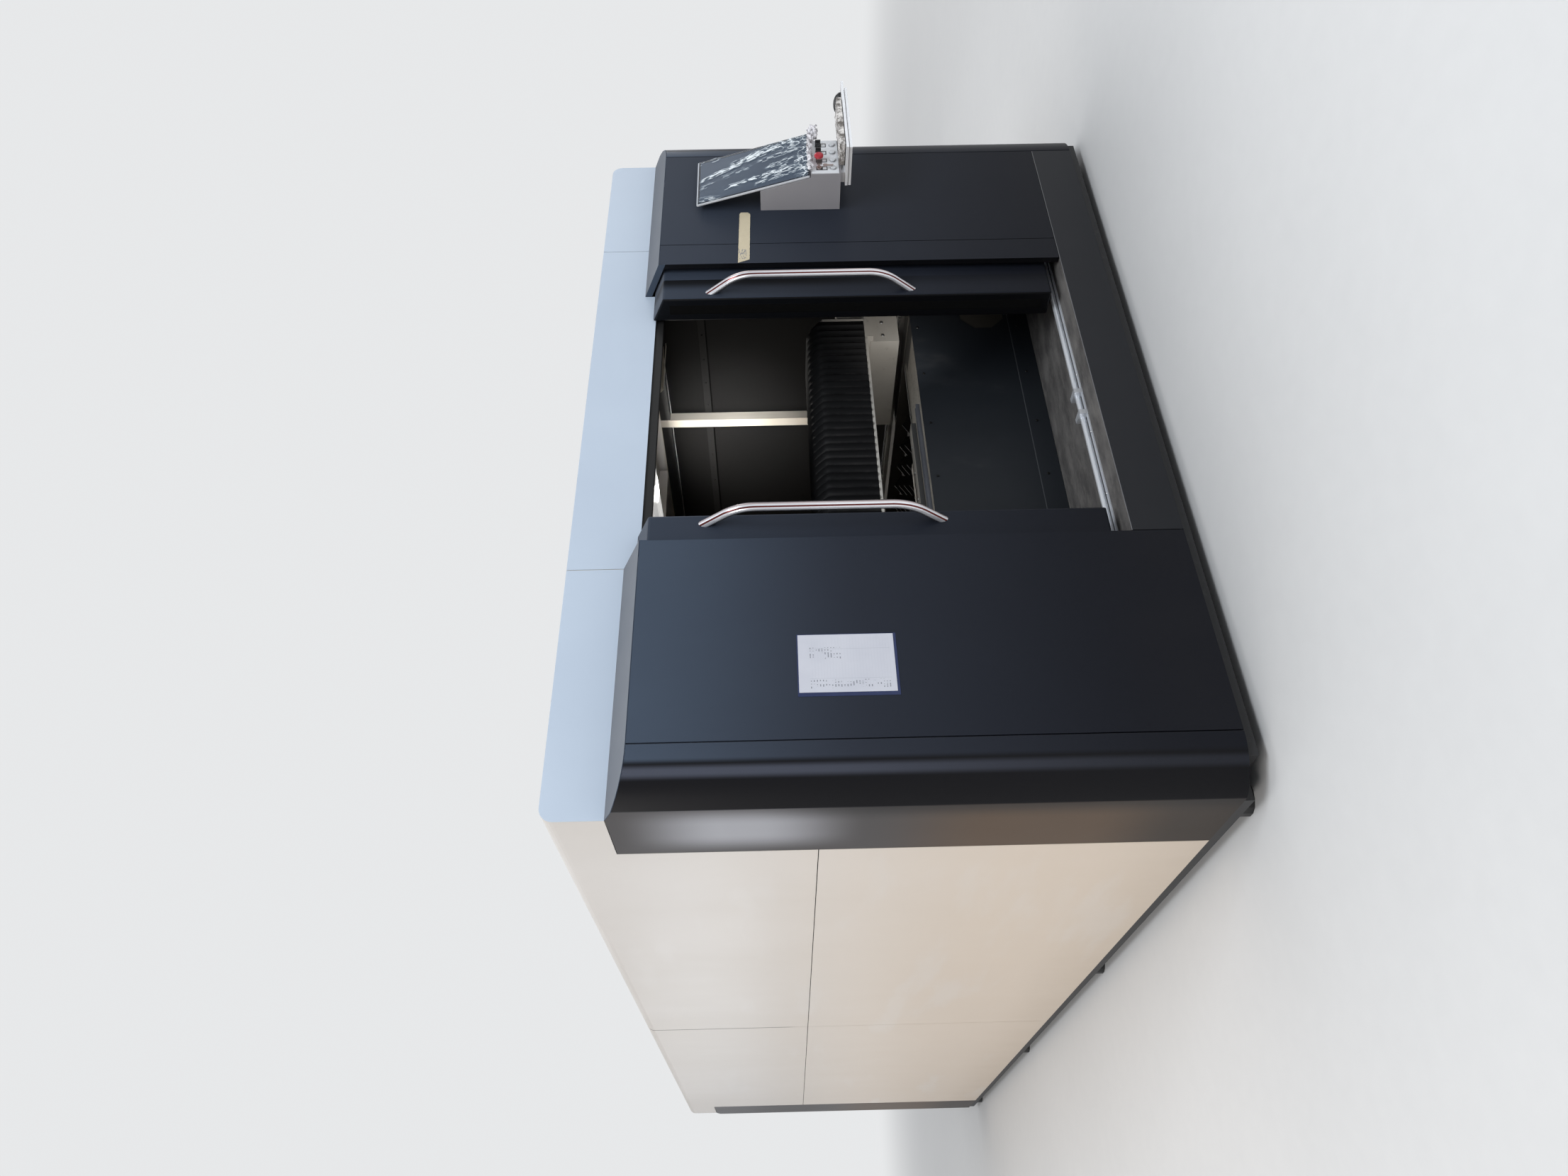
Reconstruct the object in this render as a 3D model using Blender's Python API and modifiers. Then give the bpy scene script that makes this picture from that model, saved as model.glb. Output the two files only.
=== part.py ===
"""Fiber laser cutting machine with a closed cabin.

A welded base carries the machine bed, a cutting pallet with toothed slats and a gantry under
pleated bellows.  A cabin of bent sheet panels on two tube frames closes round them, with two
thick sliding doors in front, an operator console beside them and a lifting gate at the back.
Metres, +Z up, X across the machine, the doors face -Y.
Inside this file Y is measured from the face of the front fascia; the cabin empty shifts it so
that the whole machine stands centred on the origin.
"""
import bpy
import bmesh
from math import asin, cos, pi, radians, sin, sqrt, tan
from mathutils import Matrix, Vector

# Cabin, driving sizes
HALF_WIDTH = 1.63
HALF_LENGTH = 2.858
ROOF_TOP = 2.175
ROOF_RADIUS = 0.045
ROOF_RETURN = 0.16
FASCIA_BOTTOM = ROOF_TOP - 0.199
FASCIA_LOW = ROOF_TOP - 0.251
FASCIA_END = 0.92
FASCIA_FAR_END = 0.62
SIDE_SEAM = 1.33
SKIRT_BOTTOM = 0.075
SHEET = 0.002
GAP = 0.0003
SEAM = 0.003

# Dark front and back, which stand proud of the fascia
BAY = 0.163
WRAP_LENGTH = 0.28
CREASE = 0.058
CORNER_RUN = 0.172
SHOULDER_SLOPE = 0.442
DOORWAY_MARGIN = 0.919
STRIP_WIDTH = 0.125
FLANGE = 0.024
CHEEK = 0.028
SILL_TOP = 0.248
SILL_START = 0.922
SILL_UNDERLAP = 0.16

# Frames
TUBE = 0.06
LINER_START = 0.16
RAIL_TOP = ROOF_TOP - 0.055
LINER_TOP = RAIL_TOP - 0.065
POST_Y = 1.65
BASE_BOTTOM = 0.04
BASE_TOP = 0.16
BASE_WIDTH = 0.12
FOOT_RADIUS = 0.055
FOOT_Y = (0.1, HALF_LENGTH - 0.908, HALF_LENGTH + 0.892, 2 * HALF_LENGTH - 0.116)
CROSS_Y = (0.55, HALF_LENGTH, 2 * HALF_LENGTH - 0.616)

# Sliding doors
LEAF_WIDTH = 0.74
LEFT_LEAF_EDGE = 1.058
RIGHT_LEAF_EDGE = 1.081
LEAF_FRONT = 0.12
LEAF_BACK = 0.004
LEAF_BOTTOM = 0.297
LEAF_TOP = FASCIA_LOW - 0.039
GUIDE_LIP_BOTTOM = FASCIA_LOW - 0.032
GUIDE_LIP_INSET = 0.25
GUIDE_ARM_BOTTOM = LEAF_TOP - 0.027
LEAF_BEVEL = 0.008
MEETING_GAP = 0.003
RUNNER_LENGTH = 0.10
RUNNER_INSET = 0.065
RAIL_Y = -0.025
RAIL_RADIUS = 0.009
RAIL_FOOT = 0.05
RAIL_FOOT_THICK = 0.004
RAIL_CENTRE = 0.017
RAIL_END = 0.19
STOP_WIDTH = 0.022
STOP_HEIGHT = 0.034
HANDLE_RADIUS = 0.016
HANDLE_INSET = 0.038
HANDLE_LOW = 0.872
HANDLE_HIGH = 1.690
HANDLE_STANDOFF = 0.09
HANDLE_SLANT = 0.13
HANDLE_BEND = 0.20

# Machine bed, pallet and gantry
BED_HALF = 1.28
BED_BEAM = 0.30
BED_START = 0.3755
BED_LENGTH = 2 * HALF_LENGTH - 0.746
BED_TOP = 0.80
BED_CROSS_TOP = 0.795
LEDGE_TOP = 0.66
LEDGE_WIDTH = 0.08
PLATE_THICK = 0.003
PLATE_STEP = 0.341
GUIDE_X = BED_HALF - 0.15
GUIDE_WIDTH = 0.03
GUIDE_HEIGHT = 0.028
PALLET_START = 0.74
PALLET_LENGTH = BED_LENGTH - 0.77
PALLET_HALF = BED_HALF - 0.38
PALLET_TUBE = 0.05
PALLET_TOP = 0.745
SLAT_COUNT = 26
SLAT_TEETH = 13
SLAT_THICK = 0.006
SLAT_TIP = 0.80
SLAT_VALLEY = 0.765
SLAT_BOTTOM = 0.69
GANTRY_FRONT = 0.47
BEAM_SETBACK = 0.09
BEAM_DEPTH = 0.27
BEAM_BOTTOM = 1.01
BEAM_TOP = 1.20
CARRIAGE_INNER = BED_HALF - 0.29
CARRIAGE_OUTER = BED_HALF - 0.04
CARRIAGE_LENGTH = 0.58
COVER_BOTTOM = 1.0
COVER_SHOULDER = 1.215
COVER_TOP = 1.262
COVER_CHAMFER = 0.06
COVER_DEPTH = 0.35
COVER_END = BED_HALF - 0.21
END_PLATE_THICK = 0.014
END_PLATE_DROP = 0.017
FOLD_DEPTH = 0.018
COVER_HEM = 0.006
RIGHT_FOLDS = 40
LEFT_FOLDS = 8
HEAD_X = 0.30 - COVER_END
HEAD_WIDTH = 0.30
HOUSING_HALF = 0.085
HOUSING_DEPTH = 0.075
HOUSING_BOTTOM = 1.05
HOUSING_TOP = 1.45
HEAD_STANDOFF = 0.11
NOZZLE_TIP = 0.93

# Work lamp under the roof
LAMP_LEFT = HALF_WIDTH - 0.57
LAMP_WIDTH = 0.10
LAMP_START = 0.75 * HALF_LENGTH - 0.6235
LAMP_LENGTH = 0.58

# Console
CONSOLE_LEFT = 1.059
CONSOLE_WIDTH = 0.234
CONSOLE_BOTTOM = 1.140
CONSOLE_LEDGE = 1.265
CONSOLE_TOP = 1.479
CONSOLE_REACH = 0.171
LEDGE_DEPTH = 0.0195
MONITOR_TILT = radians(15.3)
MONITOR_WIDTH = 0.306
MONITOR_HEIGHT = 0.503
MONITOR_THICK = 0.012
MONITOR_LIFT = 0.0024
PLATE_BOTTOM = 1.147
PLATE_HEIGHT = 0.115
UPPER_ROW = 0.083
LOWER_ROW = 0.024
BUTTON_PITCH = 0.0545
BUTTON_FIRST = 0.034
HOLE_RADIUS = 0.0085
POCKET_DEPTH = 0.022
STEM_RADIUS = 0.008
SHELF_LEFT = 1.07
SHELF_WIDTH = 0.491
SHELF_FRONT = 0.449
SHELF_DEPTH = 0.18
SHELF_BOTTOM = 1.096
SHELF_PLATE = 0.011
SHELF_STEP = 0.003
SHELF_OVERHANG = 0.045
KEYBOARD_LEFT = 1.10
KEYBOARD_WIDTH = 0.33
KEYBOARD_DEPTH = 0.10
MOUSE_X = 1.50
MOUSE_SIZE = (0.03, 0.052, 0.032)

# Rear gate
GATE_HALF = 0.83
GATE_BOTTOM = 0.60
GATE_HEIGHT = 0.54
GATE_THICK = 0.03
GATE_LAP = 0.03
GATE_TRAVEL = 0.50

REAR_FASCIA = 2 * HALF_LENGTH
REAR_FACE = REAR_FASCIA + BAY
CENTRE_Y = (REAR_FACE - SHELF_FRONT) / 2
LINER_FACE = SHEET + GAP
FRAME_FACE = 2 * (SHEET + GAP)
PANEL_BACK = -BAY + FLANGE
BASE_FRONT = PANEL_BACK + GAP
HEADER_Y = SHEET + GAP

FINISH = {
    "white_powder": ((0.80, 0.78, 0.74), 0.0, 0.35),
    "dark_powder": ((0.055, 0.062, 0.075), 0.0, 0.42),
    "black_sheet": ((0.02, 0.02, 0.022), 0.0, 0.6),
    "frame_paint": ((0.62, 0.58, 0.50), 0.0, 0.5),
    "bed_paint": ((0.52, 0.50, 0.46), 0.0, 0.5),
    "chrome": ((0.85, 0.86, 0.88), 1.0, 0.12),
    "steel": ((0.45, 0.45, 0.46), 1.0, 0.4),
    "black_fabric": ((0.012, 0.012, 0.013), 0.0, 0.8),
    "console_grey": ((0.42, 0.40, 0.41), 0.0, 0.45),
    "white_plate": ((0.85, 0.86, 0.88), 0.0, 0.3),
    "glass_black": ((0.01, 0.01, 0.012), 0.0, 0.1),
    "red_plastic": ((0.65, 0.04, 0.03), 0.0, 0.35),
    "black_plastic": ((0.02, 0.02, 0.02), 0.0, 0.4),
    "clear_plastic": ((0.75, 0.77, 0.78), 0.0, 0.25),
    "lamp_white": ((0.95, 0.95, 0.92), 0.0, 0.4),
    "copper": ((0.72, 0.42, 0.25), 1.0, 0.3),
}

for old in list(bpy.data.objects):
    bpy.data.objects.remove(old, do_unlink=True)
parts = bpy.data.collections.new("fiber_laser_cutting_machine")
cutters = bpy.data.collections.new("cutters")
bpy.context.scene.collection.children.link(parts)
bpy.context.scene.collection.children.link(cutters)


def empty(name, place, parent=None, tilt=0.0):
    """Empty that carries pieces; its place is given in its parent's frame."""
    obj = bpy.data.objects.new(name, None)
    obj.empty_display_size = 0.1
    obj.location = place
    obj.rotation_euler = (tilt, 0, 0)
    obj.parent = parent
    parts.objects.link(obj)
    return obj


cabin = empty("cabin", (0, -CENTRE_Y, 0))


def put(obj, collection):
    for home in list(obj.users_collection):
        home.objects.unlink(obj)
    collection.objects.link(obj)


def part(obj, finish, parent=cabin, origin=None):
    """Keeps obj as a piece of the machine with a paint of its own.

    Its mesh is drawn in its parent's frame; origin moves the object's origin there.
    """
    colour, metallic, roughness = FINISH[finish]
    paint = bpy.data.materials.new(obj.name + "_" + finish)
    paint.use_nodes = True
    shader = paint.node_tree.nodes["Principled BSDF"]
    shader.inputs["Base Color"].default_value = (*colour, 1)
    shader.inputs["Metallic"].default_value = metallic
    shader.inputs["Roughness"].default_value = roughness
    obj.data.materials.clear()
    obj.data.materials.append(paint)
    obj.parent = parent
    if origin is not None:
        obj.data.transform(Matrix.Translation(-Vector(origin)))
        obj.location = Vector(obj.location) + Vector(origin)
    put(obj, parts)
    return obj


def helper(obj, parent=cabin):
    """A solid that only cuts or joins another piece."""
    obj.parent = parent
    obj.hide_render = True
    obj.display_type = "WIRE"
    put(obj, cutters)
    return obj


def combine(obj, other, operation, parent=cabin):
    step = obj.modifiers.new(operation.lower(), "BOOLEAN")
    step.operation = operation
    step.solver = "EXACT"
    step.object = helper(other, parent)
    return obj


def cut(obj, other, parent=cabin):
    return combine(obj, other, "DIFFERENCE", parent)


def join(obj, other, parent=cabin):
    return combine(obj, other, "UNION", parent)


def box(name, x, y, z):
    """Block between two values on each axis."""
    bpy.ops.mesh.primitive_cube_add(size=1)
    obj = bpy.context.object
    obj.name = obj.data.name = name
    size = [abs(b - a) for a, b in (x, y, z)]
    obj.data.transform(Matrix.Diagonal((*size, 1)))
    obj.location = [(a + b) / 2 for a, b in (x, y, z)]
    return obj


def rod(name, radius, low, high, place, sides=24):
    """Upright cylinder from low to high at place."""
    bpy.ops.mesh.primitive_cylinder_add(vertices=sides, radius=radius, depth=high - low)
    obj = bpy.context.object
    obj.name = obj.data.name = name
    obj.location = (place[0], place[1], (low + high) / 2)
    return obj


PLANES = {
    "xy": Matrix.Identity(4),
    "yz": Matrix(((0, 0, 1, 0), (1, 0, 0, 0), (0, 1, 0, 0), (0, 0, 0, 1))),
    "xz": Matrix(((1, 0, 0, 0), (0, 0, -1, 0), (0, 1, 0, 0), (0, 0, 0, 1))),
}


def prism(name, outline, low, high, plane):
    """Flat outline in a plane, drawn out between two values on the third axis."""
    curve = bpy.data.curves.new(name, "CURVE")
    curve.dimensions = "2D"
    curve.fill_mode = "BOTH"
    curve.extrude = (high - low) / 2
    spline = curve.splines.new("POLY")
    spline.points.add(len(outline) - 1)
    for point, (a, b) in zip(spline.points, outline):
        point.co = (a, b, 0, 1)
    spline.use_cyclic_u = True
    drawn = bpy.data.objects.new(name, curve)
    parts.objects.link(drawn)
    mesh = bpy.data.meshes.new_from_object(drawn.evaluated_get(bpy.context.evaluated_depsgraph_get()))
    bpy.data.objects.remove(drawn)
    middle = (high + low) / 2
    if plane == "xz":
        middle = -middle
    mesh.transform(PLANES[plane] @ Matrix.Translation((0, 0, middle)))
    solid = bmesh.new()
    solid.from_mesh(mesh)
    bmesh.ops.remove_doubles(solid, verts=solid.verts, dist=1e-6)
    bmesh.ops.recalc_face_normals(solid, faces=solid.faces)
    solid.to_mesh(mesh)
    solid.free()
    obj = bpy.data.objects.new(name, mesh)
    parts.objects.link(obj)
    return obj


def skin(name, rows, outward, thickness=SHEET, skip=()):
    """Bent sheet through rows of points; its thickness goes in from the outward side."""
    cloth = bmesh.new()
    grid = [[cloth.verts.new(p) for p in row] for row in rows]
    for i in range(len(rows) - 1):
        for k in range(len(rows[0]) - 1):
            if (i, k) not in skip:
                cloth.faces.new((grid[i][k], grid[i][k + 1], grid[i + 1][k + 1], grid[i + 1][k]))
    loose = [v for v in cloth.verts if not v.link_faces]
    bmesh.ops.delete(cloth, geom=loose, context="VERTS")
    cloth.normal_update()
    facing = sum((f.normal * f.calc_area() for f in cloth.faces), Vector())
    if facing.dot(Vector(outward)) < 0:
        bmesh.ops.reverse_faces(cloth, faces=cloth.faces)
    mesh = bpy.data.meshes.new(name)
    cloth.to_mesh(mesh)
    cloth.free()
    obj = bpy.data.objects.new(name, mesh)
    parts.objects.link(obj)
    wall = obj.modifiers.new("wall", "SOLIDIFY")
    wall.thickness = thickness
    wall.offset = -1
    wall.use_even_offset = True
    return obj


def turned(name, profile, sides=20):
    """Turned piece; the profile of radius and height runs from top to bottom."""
    mesh = bpy.data.meshes.new(name)
    mesh.from_pydata([(r, 0, z) for r, z in profile], [(i, i + 1) for i in range(len(profile) - 1)], [])
    obj = bpy.data.objects.new(name, mesh)
    parts.objects.link(obj)
    lathe = obj.modifiers.new("lathe", "SCREW")
    lathe.steps = lathe.render_steps = sides
    lathe.use_merge_vertices = True
    lathe.merge_threshold = 1e-5
    return obj


def as_mesh(obj):
    """Turns a curve into a mesh with welded caps, so that it can be cut or joined."""
    bpy.context.view_layer.update()
    mesh = bpy.data.meshes.new_from_object(obj.evaluated_get(bpy.context.evaluated_depsgraph_get()))
    solid = bmesh.new()
    solid.from_mesh(mesh)
    bmesh.ops.remove_doubles(solid, verts=solid.verts, dist=1e-6)
    bmesh.ops.recalc_face_normals(solid, faces=solid.faces)
    solid.to_mesh(mesh)
    solid.free()
    name, place = obj.name, obj.matrix_world.copy()
    bpy.data.objects.remove(obj)
    new = bpy.data.objects.new(name, mesh)
    new.matrix_world = place
    parts.objects.link(new)
    return new


def arc(centre, radius, start, end, steps):
    """Points on a circle; angles in radians."""
    turn = [start + (end - start) * i / steps for i in range(steps + 1)]
    return [(centre[0] + radius * cos(a), centre[1] + radius * sin(a)) for a in turn]


def side_x(side, inset):
    """X of a plane that lies inset from the cabin's outer side face; side is -1 or 1."""
    return side * (HALF_WIDTH - inset)


def mirrored(y, end):
    """Front values of Y as they are, or mirrored to the back of the cabin."""
    return y if end == "front" else REAR_FASCIA - y


def shoulder_top(y):
    """Height of the sloping shoulder over the dark panels, at a front value of Y."""
    return FASCIA_BOTTOM + SHOULDER_SLOPE * min(y, 0.0)


SHOULDER_DROP = SHEET * sqrt(1 + SHOULDER_SLOPE ** 2)


def under_shoulder(y):
    """Height of a panel's top edge just under the shoulder."""
    return shoulder_top(y) - SHOULDER_DROP - GAP


def corner_plan(steps=8):
    """Plan of the rounded corner as (inset, y), from the crease to the front plane."""
    rise = BAY - CREASE
    radius = (CORNER_RUN ** 2 + rise ** 2) / (2 * rise)
    first = asin((radius - rise) / radius)
    points = arc((CORNER_RUN, -BAY + radius), radius, pi + first, 1.5 * pi, steps)
    return points


def base_frame():
    """Welded tube base on eight round feet, set back under the skirt."""
    reach = FRAME_FACE
    front = box("base_frame", (side_x(-1, 0.10), side_x(1, 0.10)), (BASE_FRONT, 0.03),
                (BASE_BOTTOM, SILL_TOP - SHEET - GAP))
    rear = box("base_rear", (side_x(-1, 0.10), side_x(1, 0.10)),
               (mirrored(0.03, "back"), mirrored(BASE_FRONT, "back")), (BASE_BOTTOM, SILL_TOP - SHEET - GAP))
    join(front, rear)
    for side in (-1, 1):
        rail = box("base_side", (side_x(side, reach), side_x(side, reach + BASE_WIDTH)),
                   (-0.03, mirrored(-0.03, "back")), (BASE_BOTTOM, BASE_TOP))
        join(front, rail)
    for y in CROSS_Y:
        join(front, box("base_cross", (side_x(-1, 0.05), side_x(1, 0.05)),
                        (y - BASE_WIDTH / 2, y + BASE_WIDTH / 2),
                        (BASE_BOTTOM + 0.005, BASE_TOP)))
    for side in (-1, 1):
        for y in FOOT_Y:
            join(front, rod("base_foot", FOOT_RADIUS, 0, BASE_BOTTOM + 0.005,
                            (side_x(side, reach + BASE_WIDTH / 2), y), 14))
    part(front, "black_sheet")


def side_panels():
    """Four white sheets on each side; the upper ones roll over into the roof."""
    corner = arc((ROOF_RADIUS, ROOF_TOP - ROOF_RADIUS), ROOF_RADIUS, pi, pi / 2, 6)
    for side, hand in ((-1, "left"), (1, "right")):
        for end in ("front", "back"):
            profile = [(0, SIDE_SEAM + SEAM / 2), (0, FASCIA_BOTTOM)] + corner + [(ROOF_RETURN, ROOF_TOP)]
            stations = [SHEET + GAP, WRAP_LENGTH + SEAM / 2, HALF_LENGTH - SEAM / 2]
            rows = [[(side_x(side, d), mirrored(y, end), z) for d, z in profile] for y in stations]
            upper = skin("%s_side_panel_%s_upper" % (hand, end), rows, (side, 0, 1), skip={(0, 0)})
            part(upper, "white_powder")
            xs = (side_x(side, 0), side_x(side, SHEET))
            ys = (mirrored(WRAP_LENGTH + SEAM / 2, end), mirrored(HALF_LENGTH - SEAM / 2, end))
            lower = box("%s_side_panel_%s_lower" % (hand, end), xs, ys, (SKIRT_BOTTOM, SIDE_SEAM - SEAM / 2))
            part(lower, "white_powder")


def fascia_outline(left, right, low_left=None, low_right=None):
    """Outline in X and Z; ends on the cabin's sides get the roof's radius."""
    outline = []
    if left <= -HALF_WIDTH:
        centre = (left + ROOF_RADIUS, ROOF_TOP - ROOF_RADIUS)
        outline += [(left, FASCIA_BOTTOM)] + arc(centre, ROOF_RADIUS, pi, pi / 2, 6)
    else:
        outline += [(left, low_left or FASCIA_BOTTOM), (left, ROOF_TOP)]
    if right >= HALF_WIDTH:
        centre = (right - ROOF_RADIUS, ROOF_TOP - ROOF_RADIUS)
        outline += arc(centre, ROOF_RADIUS, pi / 2, 0, 6) + [(right, FASCIA_BOTTOM)]
    else:
        outline += [(right, ROOF_TOP), (right, low_right or FASCIA_BOTTOM)]
    return outline


def fascias():
    """White plates over the doors; the middle one reaches lower across the doorway."""
    left_end = side_x(-1, FASCIA_END)
    right_end = side_x(1, FASCIA_FAR_END)
    part(prism("fascia_left", fascia_outline(-HALF_WIDTH, left_end - SEAM / 2), 0, SHEET, "xz"),
         "white_powder")
    part(prism("fascia_right", fascia_outline(right_end + SEAM / 2, HALF_WIDTH), 0, SHEET, "xz"),
         "white_powder")
    doorway = side_x(1, DOORWAY_MARGIN + SHEET + 2 * GAP)
    outline = fascia_outline(left_end + SEAM / 2, right_end - SEAM / 2, low_left=FASCIA_LOW)
    outline += [(doorway, FASCIA_BOTTOM), (doorway, FASCIA_LOW)]
    part(prism("fascia_middle", outline, 0, SHEET, "xz"), "white_powder")
    rear = prism("rear_fascia", fascia_outline(-HALF_WIDTH, HALF_WIDTH), REAR_FASCIA - SHEET, REAR_FASCIA,
                 "xz")
    part(rear, "white_powder")


def roof():
    """Flat roof sheet with four welded stiffeners that rest on the tube frames."""
    sheet = box("roof_panel", (side_x(-1, ROOF_RETURN + SEAM), side_x(1, ROOF_RETURN + SEAM)),
                (SHEET + GAP, REAR_FASCIA - SHEET - GAP), (ROOF_TOP - SHEET, ROOF_TOP))
    reach = ROOF_RADIUS + 0.005
    for i in range(4):
        y = REAR_FASCIA * (i + 0.5) / 4
        join(sheet, box("roof_rib", (side_x(-1, reach), side_x(1, reach)), (y - 0.025, y + 0.025),
                        (RAIL_TOP + GAP, ROOF_TOP - SHEET - GAP)))
        join(sheet, box("roof_weld", (side_x(-1, ROOF_RETURN + 0.02), side_x(1, ROOF_RETURN + 0.02)),
                        (y - 0.02, y + 0.02), (RAIL_TOP + 0.02, ROOF_TOP - SHEET / 2)))
    part(sheet, "white_powder")


def wall_frames():
    """Square-tube frames inside each side wall, with five posts between two rails."""
    for side, hand in ((-1, "left"), (1, "right")):
        xs = (side_x(side, FRAME_FACE), side_x(side, FRAME_FACE + TUBE))
        ends = (HEADER_Y, REAR_FASCIA - HEADER_Y)
        frame = box(hand + "_wall_frame", xs, ends, (RAIL_TOP - TUBE, RAIL_TOP))
        join(frame, box("frame_foot", xs, ends, (BASE_TOP + GAP, BASE_TOP + GAP + TUBE)))
        last = REAR_FASCIA - HEADER_Y - TUBE
        for y in (HEADER_Y, POST_Y, HALF_LENGTH - TUBE / 2, REAR_FASCIA - POST_Y - TUBE, last):
            inner = (side_x(side, FRAME_FACE + 0.0005), side_x(side, FRAME_FACE + TUBE - 0.0005))
            outer_post = y in (HEADER_Y, last)
            ys = (y, y + TUBE) if not outer_post else (y + 0.0005, y + TUBE - 0.0005)
            join(frame, box("frame_post", inner, ys, (BASE_TOP + 0.02, RAIL_TOP - 0.02)))
        part(frame, "frame_paint")
        liner = box(hand + "_liner", (side_x(side, LINER_FACE), side_x(side, LINER_FACE + SHEET)),
                    (LINER_START, REAR_FASCIA - LINER_START), (BASE_TOP + GAP, LINER_TOP))
        part(liner, "black_sheet")


def header():
    """Beam over the doorway with the channel that guides the tops of the doors."""
    reach = FRAME_FACE + TUBE + GAP
    beam = box("front_header", (side_x(-1, reach), side_x(1, reach)), (HEADER_Y, HEADER_Y + TUBE),
               (FASCIA_LOW + 0.016, ROOF_TOP - SHEET - GAP))
    for y in (0.008, 0.0325):
        join(beam, box("guide_lip", (side_x(-1, GUIDE_LIP_INSET), side_x(1, GUIDE_LIP_INSET)),
                       (y, y + 0.0035), (GUIDE_LIP_BOTTOM, FASCIA_LOW + 0.03)))
    part(beam, "frame_paint")


def wrap(name, side, end):
    """Dark corner sheet: a flat side, a crease and an arc round to the front plane."""
    stop = CORNER_RUN - SEAM / 2
    plan = [(0, WRAP_LENGTH - SEAM / 2), (0, 0.0), (0, -CREASE)] + corner_plan()[1:-1]
    plan += [(stop, -BAY), (stop, PANEL_BACK)]
    low = [(side_x(side, d), mirrored(y, end), SKIRT_BOTTOM) for d, y in plan]
    high = [(side_x(side, d), mirrored(y, end), under_shoulder(y)) for d, y in plan]
    facing = -1 if end == "front" else 1
    return skin(name, [low, high], (side, facing, 0))


def front_sheet(name, x, bottom, end="front"):
    """Dark flat panel with a flange down each upright edge."""
    plan = [(x[0], PANEL_BACK), (x[0], -BAY), (x[1], -BAY), (x[1], PANEL_BACK)]
    low = [(px, mirrored(y, end), bottom) for px, y in plan]
    high = [(px, mirrored(y, end), under_shoulder(y)) for px, y in plan]
    facing = -1 if end == "front" else 1
    return skin(name, [low, high], (0, facing, 0))


def shoulder_cap(name, side):
    """Sloping cap over the fixed dark panels of one side, with a cheek at the doorway."""
    overhang = DOORWAY_MARGIN + SHEET + GAP
    crest = [(0, -CREASE)] + corner_plan()[1:-1] + [(CORNER_RUN, -BAY), (overhang, -BAY)]
    back = [(side_x(side, d), -GAP, shoulder_top(-GAP)) for d, y in crest]
    front = [(side_x(side, d), y, shoulder_top(y)) for d, y in crest]
    end = side_x(side, overhang)
    back.append((end, -GAP, shoulder_top(-GAP) - CHEEK))
    front.append((end, -BAY, shoulder_top(-BAY) - CHEEK))
    return skin(name, [back, front], (0, 0, 1))


def dark_front():
    """Fixed dark sheets in front: corner wraps, flat panels, a strip and the caps."""
    part(wrap("left_corner_wrap", -1, "front"), "dark_powder")
    part(wrap("right_corner_wrap", 1, "front"), "dark_powder")
    near = CORNER_RUN + SEAM / 2
    left = (side_x(-1, near), side_x(-1, DOORWAY_MARGIN))
    part(front_sheet("left_front_panel", left, SKIRT_BOTTOM), "dark_powder")
    seam = DOORWAY_MARGIN - STRIP_WIDTH
    right = (side_x(1, seam - SEAM / 2), side_x(1, near))
    part(front_sheet("right_front_panel", right, SILL_TOP + SEAM), "dark_powder")
    strip = (side_x(1, DOORWAY_MARGIN), side_x(1, seam + SEAM / 2))
    part(front_sheet("right_edge_strip", strip, SILL_TOP + SEAM), "dark_powder")
    part(shoulder_cap("left_shoulder_cap", -1), "dark_powder")
    part(shoulder_cap("right_shoulder_cap", 1), "dark_powder")


def sill():
    """Folded sill: a lip flush with the front plane and the doorway floor behind it."""
    profile = [(PANEL_BACK, SKIRT_BOTTOM), (-BAY, SKIRT_BOTTOM), (-BAY, SILL_TOP),
               (PANEL_BACK + 0.0025, SILL_TOP), (BED_START - 0.006, SILL_TOP)]
    stations = [side_x(-1, SILL_UNDERLAP), side_x(-1, SILL_START), side_x(1, CORNER_RUN + SEAM / 2)]
    rows = [[(x, y, z) for y, z in profile] for x in stations]
    part(skin("door_sill", rows, (0, -1, 1), skip={(0, 0), (0, 1), (0, 2)}), "dark_powder")


def door_rail():
    """Bright rail for the door runners, with the two stops where the doors meet."""
    foot = SILL_TOP + GAP
    half = RAIL_FOOT / 2
    neck = 0.003
    low = RAIL_CENTRE - sqrt(RAIL_RADIUS ** 2 - neck ** 2)
    first = asin((low - RAIL_CENTRE) / RAIL_RADIUS)
    outline = [(-half, 0), (half, 0), (half, RAIL_FOOT_THICK), (neck, RAIL_FOOT_THICK)]
    outline += arc((0, RAIL_CENTRE), RAIL_RADIUS, first, pi - first, 10)
    outline += [(-neck, RAIL_FOOT_THICK), (-half, RAIL_FOOT_THICK)]
    outline = [(RAIL_Y + y, foot + z) for y, z in outline]
    rail = prism("door_rail", outline, side_x(-1, RAIL_END), side_x(1, RAIL_END), "yz")
    for side in (-1, 1):
        x = side * (MEETING_GAP / 2 + RUNNER_INSET - GAP)
        clamp = box("rail_stop", (x, x - side * STOP_WIDTH), (RAIL_Y - half - 0.004, RAIL_Y + half + 0.004),
                    (foot + 0.001, foot + STOP_HEIGHT))
        join(rail, clamp)
    part(rail, "chrome")


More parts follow.
